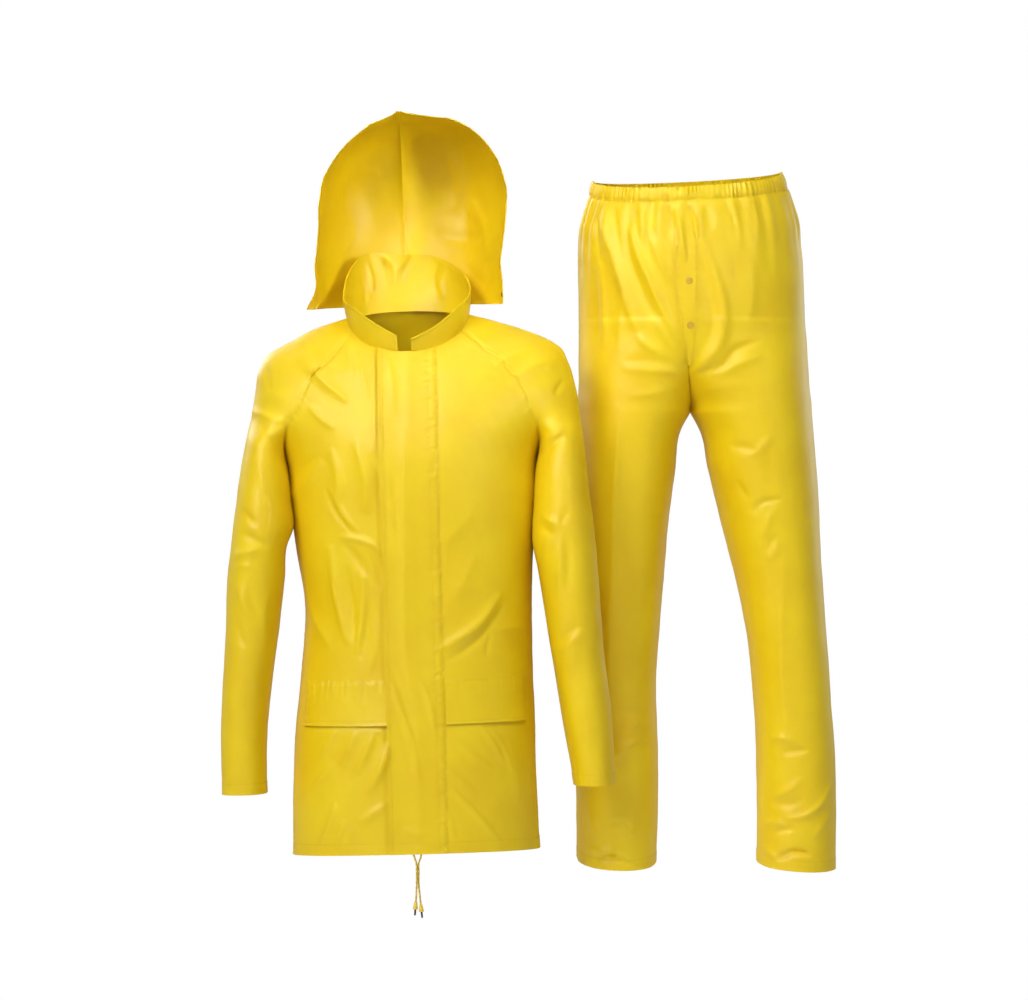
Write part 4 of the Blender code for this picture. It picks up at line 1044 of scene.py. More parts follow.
class TrouserForm:
    """The form of the trousers."""

    def half(self, side: str, heights: Array, places: Array) -> Array:
        """Points of one half: place -1 at the front seam, 0 at the side, 1 at the back seam.

        Args:
            side: right or left.
            heights: one height for each row, falling.
            places: places of each row's columns.

        Returns:
            Points of the trousers.
        """
        places = places * np.ones((len(heights), 1))
        upper = heights > CROTCH_HEIGHT
        parts = []
        if upper.any():
            hips = HIPS.at(heights[upper])
            outer = hips["left" if side == "right" else "right"]
            reach = self.reach(hips, places[upper] < 0)
            centre = np.full_like(outer, 425.0)
            parts.append(self.shape(hips, outer, hips["middle"], 0.0, reach, places[upper], centre))
        if (~upper).any():
            leg = (LEG_RIGHT if side == "right" else LEG_LEFT).at(heights[~upper])
            reach = np.full_like(places[~upper], pi)
            centre = (leg["outer"] + leg["inner"]) / 2
            rings = (leg, leg["outer"], leg["inner"], leg["middle"])
            parts.append(self.shape(*rings, reach, places[~upper], centre))
        return np.concatenate(parts, axis=0)

    def reach(self, hips: dict[str, Array], front: Array) -> Array:
        """How far round each half ring reaches, to the centre seam in front or behind."""
        ratios = [np.clip(hips["seam_" + way] / hips[way], 0, 1) ** (SQUARE / 2) for way in ("front", "back")]
        return pi - np.where(front, np.arcsin(ratios[0]), np.arcsin(ratios[1]))

    def shape(self, sizes: dict[str, Array], outer: Array, seam: Array, middle: Array | float, reach: Array,
              places: Array, centre: Array) -> Array:
        """Points of half rings from their sizes.

        Args:
            sizes: depths, dips and rolls of the rings.
            outer: places of the side seam.
            seam: places of the centre or inner seam.
            middle: middles from front to back.
            reach: how far round the rings reach, in radians.
            places: places of the columns.
            centre: places that the rings roll about.

        Returns:
            Points of the trousers.
        """
        angle = reach * places
        x = outer + (seam - outer) / (1 - power(np.cos(reach))) * (1 - power(np.cos(angle)))
        y = middle + np.where(places < 0, sizes["front"], sizes["back"]) * power(np.sin(angle))
        dip = sizes["dip"] * np.clip(-y / sizes["front"], 0, None)
        z = sizes["height"] - dip + sizes["roll"] * (x - centre)
        return np.stack([x, y + TROUSER_DEPTH, z], axis=-1)

    def front_place(self, side: str, heights: Array, x: Array) -> Array:
        """Places on the front of a half at distances across it.

        Args:
            side: right or left.
            heights: one height for each row.
            x: distances across, one row of them for each height.

        Returns:
            Places between the front seam and the side.
        """
        hips = HIPS.at(heights)
        outer = hips["left" if side == "right" else "right"]
        reach = self.reach(hips, np.ones_like(x, bool))
        span = (hips["middle"] - outer) / (1 - power(np.cos(reach)))
        across = 1 - (x - outer) / span
        return -np.arccos(np.sign(across) * np.abs(across) ** (SQUARE / 2)) / reach

    def fly(self, heights: Array, offsets: Array) -> Array:
        """Points over the centre front, at offsets from its seam.

        Args:
            heights: one height for each row.
            offsets: offsets of each row's columns.

        Returns:
            Points of the trousers.
        """
        x = HIPS.at(heights)["middle"] + offsets
        right = self.half("right", heights, self.front_place("right", heights, x))
        left = self.half("left", heights, self.front_place("left", heights, x))
        return np.where((offsets < 0)[..., None], right, left)


def gather_height(points: Array) -> Array:
    """How far the waist's gathers raise points of the trousers.

    Args:
        points: points of the trousers.

    Returns:
        Heights in millimetres, negative in troughs.
    """
    turn = np.arctan2(points[..., 1] - TROUSER_DEPTH, (points[..., 0] - WAIST_MIDDLE) * WAIST_SQUASH)
    turn = turn + 0.012 * np.sin(17 * turn) + 0.02 * np.sin(5 * turn + 1.0)
    shape = points.shape[:-1]
    depth = GATHERS.at(points[..., 2].ravel())
    fine, broad = depth["fine"].reshape(shape), depth["broad"].reshape(shape)
    fine_wave = np.cos(FINE_WAVES * turn) * (0.75 + 0.4 * np.sin(11 * turn + 0.5))
    broad_wave = np.cos(BROAD_WAVES * turn) * (0.6 + 0.45 * np.sin(7 * turn + 2.0))
    return fine * fine_wave + broad * broad_wave


@dataclass(frozen=True)
class CoatedCloth:
    """Smooth coated cloth: its colour, gloss and fine relief."""

    name: str = "coated_cloth"
    colour: tuple[float, float, float] = (0.79, 0.575, 0.004)
    shade: tuple[float, float, float] = (0.75, 0.51, 0.003)
    roughness: float = 0.47
    coat: float = 0.08
    coat_roughness: float = 0.36

    def material(self) -> bpy.types.Material:
        """The cloth as a node material."""
        material, shader, kit = new_material(self.name)
        coordinates = kit.add("ShaderNodeTexCoord")
        tone = kit.noise(coordinates.outputs["Object"], 14.0, 3.0)
        colours = kit.ramp(tone, ((0.3, self.shade), (0.7, self.colour)))
        kit.link(colours, shader.inputs["Base Color"])
        gloss = kit.noise(coordinates.outputs["Object"], 60.0, 4.0)
        kit.link(kit.span(gloss, self.roughness - 0.05, self.roughness + 0.07), shader.inputs["Roughness"])
        crinkle = kit.noise(coordinates.outputs["Object"], 46.0, 5.0)
        grain = kit.noise(coordinates.outputs["Object"], 1500.0, 2.0)
        weave = kit.weave(coordinates.outputs["UV"], 1900.0)
        relief = kit.bump(crinkle, 0.0011, 0.32)
        relief = kit.bump(weave, 0.00006, 0.35, relief)
        relief = kit.bump(grain, 0.00008, 0.3, relief)
        kit.link(relief, shader.inputs["Normal"])
        shader.inputs["Coat Weight"].default_value = self.coat
        shader.inputs["Coat Roughness"].default_value = self.coat_roughness
        shader.inputs["Specular IOR Level"].default_value = 0.38
        return material


@dataclass(frozen=True)
class Thread:
    """Sewing thread and braided cord: a colour and the pitch of its twist."""

    name: str
    colour: tuple[float, float, float]
    pitch: float
    roughness: float = 0.6

    def material(self) -> bpy.types.Material:
        """The thread as a node material, with painted shade in the grooves of its twist."""
        material, shader, kit = new_material(self.name)
        coordinates = kit.add("ShaderNodeTexCoord")
        twist = kit.weave(coordinates.outputs["UV"], self.pitch)
        # painted shade: the grooves of the twist, which the bump sinks, get this darker colour
        dark = tuple(0.72 * value for value in self.colour)
        kit.link(kit.ramp(twist, ((0.2, dark), (0.8, self.colour))), shader.inputs["Base Color"])
        kit.link(kit.bump(twist, 0.0003, 0.6), shader.inputs["Normal"])
        shader.inputs["Roughness"].default_value = self.roughness
        return material


@dataclass(frozen=True)
class Moulded:
    """Moulded plastic: a colour, a gloss and a fine texture."""

    name: str
    colour: tuple[float, float, float]
    roughness: float

    def material(self) -> bpy.types.Material:
        """The plastic as a node material."""
        material, shader, kit = new_material(self.name)
        coordinates = kit.add("ShaderNodeTexCoord")
        tone = kit.noise(coordinates.outputs["Object"], 400.0, 3.0)
        dark = tuple(0.85 * value for value in self.colour)
        kit.link(kit.ramp(tone, ((0.3, dark), (0.7, self.colour))), shader.inputs["Base Color"])
        kit.link(kit.span(tone, self.roughness - 0.04, self.roughness + 0.06), shader.inputs["Roughness"])
        kit.link(kit.bump(kit.noise(coordinates.outputs["Object"], 1800.0, 2.0), 0.0001, 0.3),
                 shader.inputs["Normal"])
        return material


@dataclass
class NodeKit:
    """Short ways to add nodes to one material."""

    tree: bpy.types.NodeTree

    def add(self, kind: str) -> bpy.types.Node:
        """A new node of a kind."""
        return self.tree.nodes.new(kind)

    def link(self, source: bpy.types.NodeSocket, target: bpy.types.NodeSocket) -> None:
        """Joins an output to an input."""
        self.tree.links.new(source, target)

    def noise(self, place: bpy.types.NodeSocket, scale: float, detail: float) -> bpy.types.NodeSocket:
        """Noise of a scale per metre.

        Args:
            place: coordinates.
            scale: bumps per metre, roughly.
            detail: octaves of finer noise.

        Returns:
            The noise's value.
        """
        node = self.add("ShaderNodeTexNoise")
        node.inputs["Scale"].default_value = scale
        node.inputs["Detail"].default_value = detail
        self.link(place, node.inputs["Vector"])
        return node.outputs["Fac"]

    def weave(self, place: bpy.types.NodeSocket, threads: float) -> bpy.types.NodeSocket:
        """Crossing threads.

        Args:
            place: coordinates in metres.
            threads: threads per metre.

        Returns:
            The weave's height, from 0 to 1.
        """
        waves = []
        for direction in ("X", "Y"):
            node = self.add("ShaderNodeTexWave")
            node.bands_direction = direction
            node.inputs["Scale"].default_value = threads / 20
            node.inputs["Distortion"].default_value = 0.4
            self.link(place, node.inputs["Vector"])
            waves.append(node.outputs["Fac"])
        mixed = self.add("ShaderNodeMath")
        mixed.operation = "MULTIPLY"
        self.link(waves[0], mixed.inputs[0])
        self.link(waves[1], mixed.inputs[1])
        return mixed.outputs["Value"]

    def ramp(self, value: bpy.types.NodeSocket,
             stops: tuple[tuple[float, tuple[float, float, float]], ...]) -> bpy.types.NodeSocket:
        """Colours along a value.

        Args:
            value: the value.
            stops: places from 0 to 1 with their colours.

        Returns:
            The colour.
        """
        node = self.add("ShaderNodeValToRGB")
        for element, (place, colour) in zip(node.color_ramp.elements, stops):
            element.position = place
            element.color = (*colour, 1.0)
        self.link(value, node.inputs["Fac"])
        return node.outputs["Color"]

    def span(self, value: bpy.types.NodeSocket, low: float, high: float) -> bpy.types.NodeSocket:
        """A value from 0 to 1 spread between two others.

        Args:
            value: the value.
            low: what 0 becomes.
            high: what 1 becomes.

        Returns:
            The spread value.
        """
        node = self.add("ShaderNodeMapRange")
        node.inputs["To Min"].default_value = low
        node.inputs["To Max"].default_value = high
        self.link(value, node.inputs["Value"])
        return node.outputs["Result"]

    def bump(self, height: bpy.types.NodeSocket, distance: float, strength: float,
             under: bpy.types.NodeSocket | None = None) -> bpy.types.NodeSocket:
        """Fine relief.

        Args:
            height: the relief's height, from 0 to 1.
            distance: its depth in metres.
            strength: how much of it shows.
            under: the relief that this one lies on.

        Returns:
            The normal.
        """
        node = self.add("ShaderNodeBump")
        node.inputs["Distance"].default_value = distance
        node.inputs["Strength"].default_value = strength
        self.link(height, node.inputs["Height"])
        if under is not None:
            self.link(under, node.inputs["Normal"])
        return node.outputs["Normal"]


def new_material(name: str) -> tuple[bpy.types.Material, bpy.types.Node, NodeKit]:
    material = bpy.data.materials.new(name)
    material.use_nodes = True
    return material, material.node_tree.nodes["Principled BSDF"], NodeKit(material.node_tree)


@dataclass
class Finishes:
    """The materials of the whole suit."""

    cloth: bpy.types.Material = field(default_factory=lambda: CoatedCloth().material())
    tape: bpy.types.Material = field(
        default_factory=lambda: Thread("zip_tape", (0.62, 0.36, 0.01), 1500.0).material())
    thread: bpy.types.Material = field(
        default_factory=lambda: Thread("sewing_thread", (0.80, 0.47, 0.01), 2600.0).material())
    cord: bpy.types.Material = field(
        default_factory=lambda: Thread("braided_cord", (0.84, 0.56, 0.04), 900.0).material())
    stop: bpy.types.Material = field(
        default_factory=lambda: Moulded("cord_stop", (0.86, 0.58, 0.05), 0.32).material())
    tip: bpy.types.Material = field(
        default_factory=lambda: Moulded("cord_tip", (0.05, 0.04, 0.03), 0.4).material())
    snap: bpy.types.Material = field(
        default_factory=lambda: Moulded("snap_cap", (0.66, 0.40, 0.02), 0.3).material())
    eyelet: bpy.types.Material = field(
        default_factory=lambda: Moulded("eyelet", (0.16, 0.10, 0.02), 0.35).material())


def place_piece(piece: bpy.types.Object, material: bpy.types.Material,
                nodes: tuple[str, ...]) -> None:
    """Gives a piece its material and its place in the frame.

    Args:
        piece: the piece.
        material: its material.
        nodes: the solids that it stands for.
    """
    piece.data.materials.clear()
    piece.data.materials.append(material)
    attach(piece, "root")
    if nodes:
        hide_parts(*nodes)
    LOG.info("%s: %d faces", piece.name, len(piece.data.polygons))


def lay_sheet(cloth: Cloth, finishes: Finishes, nodes: tuple[str, ...],
              closed: bool = False, material: bpy.types.Material | None = None) -> bpy.types.Object:
    """Args:
        cloth: the cloth.
        finishes: the suit's materials.
        nodes: the solids that it stands for.
        closed: whether its first and last columns meet where they are the same line.
        material: its material, if it isn't the coated cloth.

    Returns:
        The piece.
    """
    piece = cloth.build(closed)
    place_piece(piece, material or finishes.cloth, nodes)
    return piece


@dataclass
class Stitching:
    """Rows of stitches, built as one piece for each garment."""

    name: str
    length: float = 2.7
    pitch: float = 3.9
    width: float = 0.42
    lift: float = 0.18
    lines: list[tuple[Array, Array]] = field(default_factory=list)

    def sew(self, cloth: Cloth, edge: str, insets: tuple[float, ...], rows: slice = slice(None)) -> None:
        """Adds lines of stitches at distances from an edge of the cloth."""
        self.lines.extend(cloth.stitches(edge, inset, rows) for inset in insets)

    def build(self, finishes: Finishes) -> bpy.types.Object:
        """All the stitches as one object: each is a small spindle along its line.

        Args:
            finishes: the suit's materials.

        Returns:
            The piece.
        """
        vertices, faces = [], []
        for line, normals in self.lines:
            run = np.concatenate([[0.0], np.cumsum(np.linalg.norm(np.diff(line, axis=0), axis=1))])
            starts = np.arange(self.pitch, run[-1] - self.pitch, self.pitch)
            at = [np.stack([np.interp(starts + shift, run, line[:, k]) for k in range(3)], axis=1)
                  for shift in (0.0, self.length)]
            out = np.stack([np.interp(starts, run, normals[:, k]) for k in range(3)], axis=1)
            for start, end, normal in zip(at[0], at[1], out):
                way = end - start
                side = np.cross(way, normal)
                side *= self.width / max(np.linalg.norm(side), 1e-9)
                up = normal * self.width
                middle = (start + end) / 2 + self.lift * normal
                first = len(vertices)
                vertices.extend([start, end, middle + side, middle + up, middle - side, middle - up])
                for a, b in ((2, 3), (3, 4), (4, 5), (5, 2)):
                    faces.extend([(first, first + a, first + b), (first + 1, first + b, first + a)])
        mesh = bpy.data.meshes.new(self.name)
        mesh.from_pydata((np.array(vertices) * MM).tolist(), [], faces)
        flat = np.array(vertices)[:, [0, 2]] * MM
        loops = np.zeros(len(mesh.loops), int)
        mesh.loops.foreach_get("vertex_index", loops)
        mesh.uv_layers.new(name="cut").data.foreach_set("uv", flat[loops].ravel())
        mesh.shade_smooth()
        piece = bpy.data.objects.new(self.name, mesh)
        bpy.context.scene.collection.objects.link(piece)
        place_piece(piece, finishes.thread, ())
        return piece


def turned_piece(name: str, start: Array, direction: Array, profile: tuple[tuple[float, float], ...],
                 sides: int = 28) -> bpy.types.Object:
    """A turned piece along a direction.

    Args:
        name: the piece's name.
        start: where its profile starts, in millimetres.
        direction: the way it points.
        profile: distances along it with their radii.
        sides: how many sides it has.

    Returns:
        The object.
    """
    direction = direction / np.linalg.norm(direction)
    aside = np.cross(direction, [0.0, 1.0, 0.2])
    aside /= np.linalg.norm(aside)
    other = np.cross(direction, aside)
    turns = np.linspace(0, 2 * pi, sides, endpoint=False)
    ring = np.cos(turns)[:, None] * aside + np.sin(turns)[:, None] * other
    points = np.array([start + direction * along + radius * ring for along, radius in profile])
    index = np.arange(len(profile) * sides).reshape(len(profile), sides)
    quads = ring_quads(np.hstack([index, index[:, :1]]))
    mesh = bpy.data.meshes.new(name)
    mesh.from_pydata((points.reshape(-1, 3) * MM).tolist(), [],
                     quads.tolist() + [index[0].tolist(), index[-1].tolist()])
    return finish_mesh(mesh)


HEM = Edge(EdgeKind.HEM, band=18.0, rows=(16.5,), pucker=0.35)


@dataclass
class Jacket:
    """The jacket's body, sleeves, collar and flaps."""

    finishes: Finishes
    form: JacketForm = field(default_factory=JacketForm)
    thread: Stitching = field(default_factory=lambda: Stitching("jacket_stitching"))
    step: float = FRONT_STEP
    back_step: float = BACK_STEP
    flap_lift: float = 1.5
    flap_stand: float = 4.6
    pocket_lift: float = 1.3
    collar_tuck: float = 4.0
    hem_inset: float = 16.5

    def body(self, name: str, first: Array, last: Array, heights: Array, count: int, seed: int) -> Cloth:
        """Cloth on the body between two lines of angles.

        Args:
            name: the piece's name.
            first: angles of the first edge.
            last: angles of the last edge.
            heights: one height for each row.
            count: how many columns it has.
            seed: number that sets its unevenness.

        Returns:
            The cloth with the body's creases.
        """
        points = leaned(self.form.ring(heights, column_angles(first, last, count)))
        cloth = Cloth.on(name, points, CLOTH, seed)
        cloth.crease(JACKET_FRONT, Facing.FRONT)
        cloth.crease(JACKET_BEHIND, Facing.BEHIND)
        cloth.loosen()
        return cloth

    def build_fronts(self) -> None:
        """The two front panels, from the raglan seams to the zip."""
        heights = heights_between(0, HEM_HEIGHT, self.step)
        above = slice(0, int((heights > UNDERARM_HEIGHT).sum()))
        for side, zip_edge, seed in (("right", -ZIP_HALF, 3), ("left", ZIP_HALF, 5)):
            seam = self.form.seams(side, heights)[0]
            edge = self.form.angle_at(heights, zip_edge)
            cloth = self.body(f"jacket_front_{side}_cloth", seam, edge, heights, 74, seed)
            cloth.edges(first=Edge(EdgeKind.STITCHED, rows=(4.5,), pucker=0.55, meets=True),
                        last=NO_EDGE, bottom=HEM)
            cloth.relief = cloth.relief - self.shadow_under_flaps(cloth, side)
            self.thread.sew(cloth, "first", (4.5,), above)
            self.thread.sew(cloth, "bottom", (self.hem_inset,))
            lay_sheet(cloth, self.finishes, (f"jacket_front_{side}",))

    def shadow_under_flaps(self, cloth: Cloth, side: str) -> Array:
        """How far a front sinks beside the storm flap's free edge and under the pocket flap.

        Args:
            cloth: the front.
            side: right or left.

        Returns:
            Depths in millimetres.
        """
        across = cloth.across()
        middle = across[:, -1:] - across + ZIP_HALF
        sunk = np.exp(-(((middle - STORM_FLAP_HALF - 1.5) / 3.2) ** 2)) * (2.2 if side == "right" else 0.7)
        height = np.linspace(0, HEM_HEIGHT, len(across))[:, None]
        under = np.exp(-(((height - POCKET_BOTTOM + 2.5) / 3.0) ** 2)) * (across > 0.25 * across[:, -1:] - 8)
        return sunk + 1.6 * under

    def build_back(self) -> None:
        """The back panel, between the two armholes and side seams."""
        heights = heights_between(0, HEM_HEIGHT, self.back_step)
        first = self.form.seams("left", heights)[1]
        last = self.form.seams("right", heights)[1] + 2 * pi
        cloth = self.body("jacket_back_cloth", first, last, heights, 120, 7)
        seam = Edge(EdgeKind.STITCHED, rows=(4.5,), pucker=0.4, meets=True)
        cloth.edges(first=seam, last=seam, top=PLAIN_SEAM, bottom=HEM)
        above = slice(0, int((heights > UNDERARM_HEIGHT).sum()))
        self.thread.sew(cloth, "first", (4.5,), above)
        self.thread.sew(cloth, "last", (4.5,), above)
        self.thread.sew(cloth, "bottom", (self.hem_inset,))
        lay_sheet(cloth, self.finishes, ("jacket_back",))

    def build_zip(self) -> None:
        """The strip of the zip under the storm flap, with its row of teeth."""
        heights = heights_between(0, HEM_HEIGHT, self.step / 2)
        first, last = self.form.angle_at(heights, -ZIP_HALF), self.form.angle_at(heights, ZIP_HALF)
        cloth = self.body("front_zip_tape", first, last, heights, 8, 9)
        middle = np.exp(-((np.arange(9) - 4) / 1.1) ** 2)
        cloth.relief = cloth.relief + middle * 0.5 * (1 + np.sin(2 * pi * cloth.down() / 3.2))
        lay_sheet(cloth, self.finishes, ("front_zip",), material=self.finishes.tape)

    def build_storm_flap(self) -> None:
        """The storm flap over the zip: one edge stands free, the other is sewn down twice."""
        heights = heights_between(-1.0, HEM_HEIGHT, self.step)
        first = self.form.angle_at(heights, -STORM_FLAP_HALF)
        last = self.form.angle_at(heights, STORM_FLAP_HALF)
        cloth = self.body("storm_flap_cloth", first, last, heights, 30, 13)
        cloth.crease(STORM_FLAP, Facing.FRONT)
        across = cloth.across()
        sewn = across[:, -1:] - across
        cloth.relief = cloth.relief + self.flap_lift * (1 - 0.45 * np.exp(-sewn / 2.5))
        cloth.relief = cloth.relief + 1.0 * np.exp(-(((across - STORM_FLAP_HALF) / 9.0) ** 2))
        cloth.edges(first=Edge(EdgeKind.FREE, rows=(6.0,), pucker=0.3, lift=self.flap_stand),
                    last=Edge(EdgeKind.STITCHED, rows=(2.5, 13.5), pucker=0.85), bottom=HEM)
        self.thread.sew(cloth, "first", (6.0,))
        self.thread.sew(cloth, "last", (2.5, 13.5))
        self.thread.sew(cloth, "bottom", (self.hem_inset,))
        lay_sheet(cloth, self.finishes, ("storm_flap",))

    def build_pocket_flaps(self) -> None:
        """The two pocket flaps, gathered a little along their top edges."""
        heights = heights_between(POCKET_TOP, POCKET_BOTTOM, self.step / 1.4)
        for side, seed in (("right", 17), ("left", 19)):
            seam = self.form.seams(side, heights)[0]
            flap = self.form.angle_at(heights, STORM_FLAP_HALF if side == "left" else -STORM_FLAP_HALF)
            outer = seam + 0.25 * (flap - seam)
            cloth = self.body(f"pocket_flap_{side}_cloth", outer, flap, heights, 54, seed)
            down = cloth.down()
            gathered = 2.0 if side == "right" else 0.5
            cells = uneven(cloth.across(), 9.0, seed) * np.exp(-(((down - 9) / 12) ** 2))
            cloth.relief = cloth.relief + self.pocket_lift + gathered * 0.6 * cells
            cloth.edges(first=Edge(EdgeKind.STITCHED, rows=(4.0,), pucker=0.3), last=NO_EDGE,
                        top=Edge(EdgeKind.STITCHED, rows=(3.5,), pucker=0.45 * gathered),
                        bottom=Edge(EdgeKind.FREE, rows=(5.0,), pucker=0.25, lift=2.4))
            self.thread.sew(cloth, "first", (4.0,))
            self.thread.sew(cloth, "top", (3.5,))
            self.thread.sew(cloth, "bottom", (5.0,))
            lay_sheet(cloth, self.finishes, (f"pocket_flap_{side}",))

    def build_sleeve(self, side: str, seed: int) -> None:
        """A raglan sleeve in one piece, from the neck to the cuff.

        Args:
            side: right or left.
            seed: number that sets its unevenness.
        """
        heights = heights_between(0, CUFF_HEIGHT, 3.6)
        places = np.linspace(-1, 1, 89)
        places = np.concatenate([[2 * places[0] - places[1]], places, [2 * places[-1] - places[-2]]])
        points = leaned(self.form.sleeve(side, heights, places))
        cloth = Cloth.on(f"sleeve_{side}_cloth", points, CLOTH, seed)
        cloth.crease(JACKET_FRONT + SLEEVES_FRONT, Facing.FRONT)
        cloth.crease(JACKET_BEHIND, Facing.BEHIND)
        cloth.loosen(0.7, 0.2)
        seam = Edge(EdgeKind.SEAM, pucker=0.5, meets=True)
        cloth.edges(first=seam, last=seam, bottom=HEM)
        self.thread.sew(cloth, "bottom", (self.hem_inset,))
        lay_sheet(cloth, self.finishes, (f"sleeve_front_{side}", f"sleeve_back_{side}"),
                  closed=True)

    def build_collar(self) -> None:
        """The stand collar, open at centre front."""
        ups = np.linspace(1, 0, 26)
        around = column_angles(np.array([COLLAR_START]), np.array([COLLAR_END]), 190)
        points = self.form.collar(ups, around)
        points[-1, :, 2] -= self.collar_tuck
        cloth = Cloth.on("collar_cloth", leaned(points), COLLAR_CLOTH, 23)
        cloth.crease(COLLAR_CREASES, Facing.BEHIND, sign=-1.0)
        cloth.crease(JACKET_FRONT, Facing.FRONT)
        cloth.loosen(0.5, 0.25)
        edge = Edge(EdgeKind.FREE, rows=(5.0,), pucker=0.35, lift=0.2)
        cloth.edges(first=edge, last=edge, top=edge, bottom=Edge(EdgeKind.SEAM, pucker=0.5))
        self.thread.sew(cloth, "top", (5.0,))
        self.thread.sew(cloth, "first", (5.0,))
        self.thread.sew(cloth, "last", (5.0,))
        lay_sheet(cloth, self.finishes, ("collar",))

    def build(self) -> None:
        """The whole jacket but for its hood and cords."""
        self.build_fronts()
        self.build_back()
        self.build_zip()
        self.build_storm_flap()
        self.build_pocket_flaps()
        self.build_sleeve("right", 29)
        self.build_sleeve("left", 37)
        self.build_collar()
        self.thread.build(self.finishes)


@dataclass
class Hood:
    """The two-piece hood, whose inside the photograph shows."""

    finishes: Finishes
    form: HoodForm = field(default_factory=HoodForm)
    thread: Stitching = field(default_factory=lambda: Stitching("hood_stitching"))
    band: float = 19.0
    eyelet_radius: float = 3.6

    def dent(self, cloth: Cloth) -> Array:
        """How far the slack centre seam falls in towards the wearer."""
        share = np.clip(1 - cloth.across() / HOOD_DENT_REACH, 0, 1) ** 1.1
        fade = np.sin(pi * np.clip(np.linspace(0, 1, len(share)), 0, 1))[:, None] ** 1.2
        return -HOOD_DENT * share * fade

    def build(self) -> None:
        """Both halves, their stitching and the eyelet of the rim."""
        rows = np.linspace(HOOD_PEAK_ROW, 0, 96)
        places = column_angles(np.array([0.0]), np.array([1.0]), 70)
        for side, seed in (("right", 41), ("left", 43)):
            cloth = Cloth.on(f"hood_{side}_cloth", leaned(self.form.half(side, rows, places)), CLOTH, seed)
            cloth.relief = cloth.relief + self.dent(cloth)
            cloth.crease(HOOD_CREASES, Facing.BEHIND, sign=-1.0)
            cloth.loosen(0.8, 0.25)
            rim = Edge(EdgeKind.HEM, band=self.band, rows=(self.band - 1.5,), pucker=0.4)
            cloth.edges(first=Edge(EdgeKind.SEAM, pucker=0.4), last=rim,
                        bottom=Edge(EdgeKind.SEAM, pucker=0.3))
            self.thread.sew(cloth, "last", (self.band - 1.5,))
            lay_sheet(cloth, self.finishes, (f"hood_{side}",))
            if side == "left":
                self.build_eyelet(cloth)
        self.thread.build(self.finishes)

    def build_eyelet(self, cloth: Cloth) -> None:
        """The eyelet that the hood's drawcord would leave by, inside the rim.

        Args:
            cloth: the half that carries it.
        """
        line, normals = cloth.stitches("last", 9.0)
        place = int(0.93 * len(line))
        start = line[place] - (CLOTH + 0.5) * normals[place]
        radius = self.eyelet_radius
        shares = ((0.0, 0.5), (0.0, 1.0), (0.9, 1.0), (1.2, 0.75), (1.2, 0.5), (0.3, 0.42))
        profile = tuple((along, radius * share) for along, share in shares)
        piece = turned_piece("hood_eyelet", start, normals[place] * -1, profile)
        place_piece(piece, self.finishes.eyelet, ())


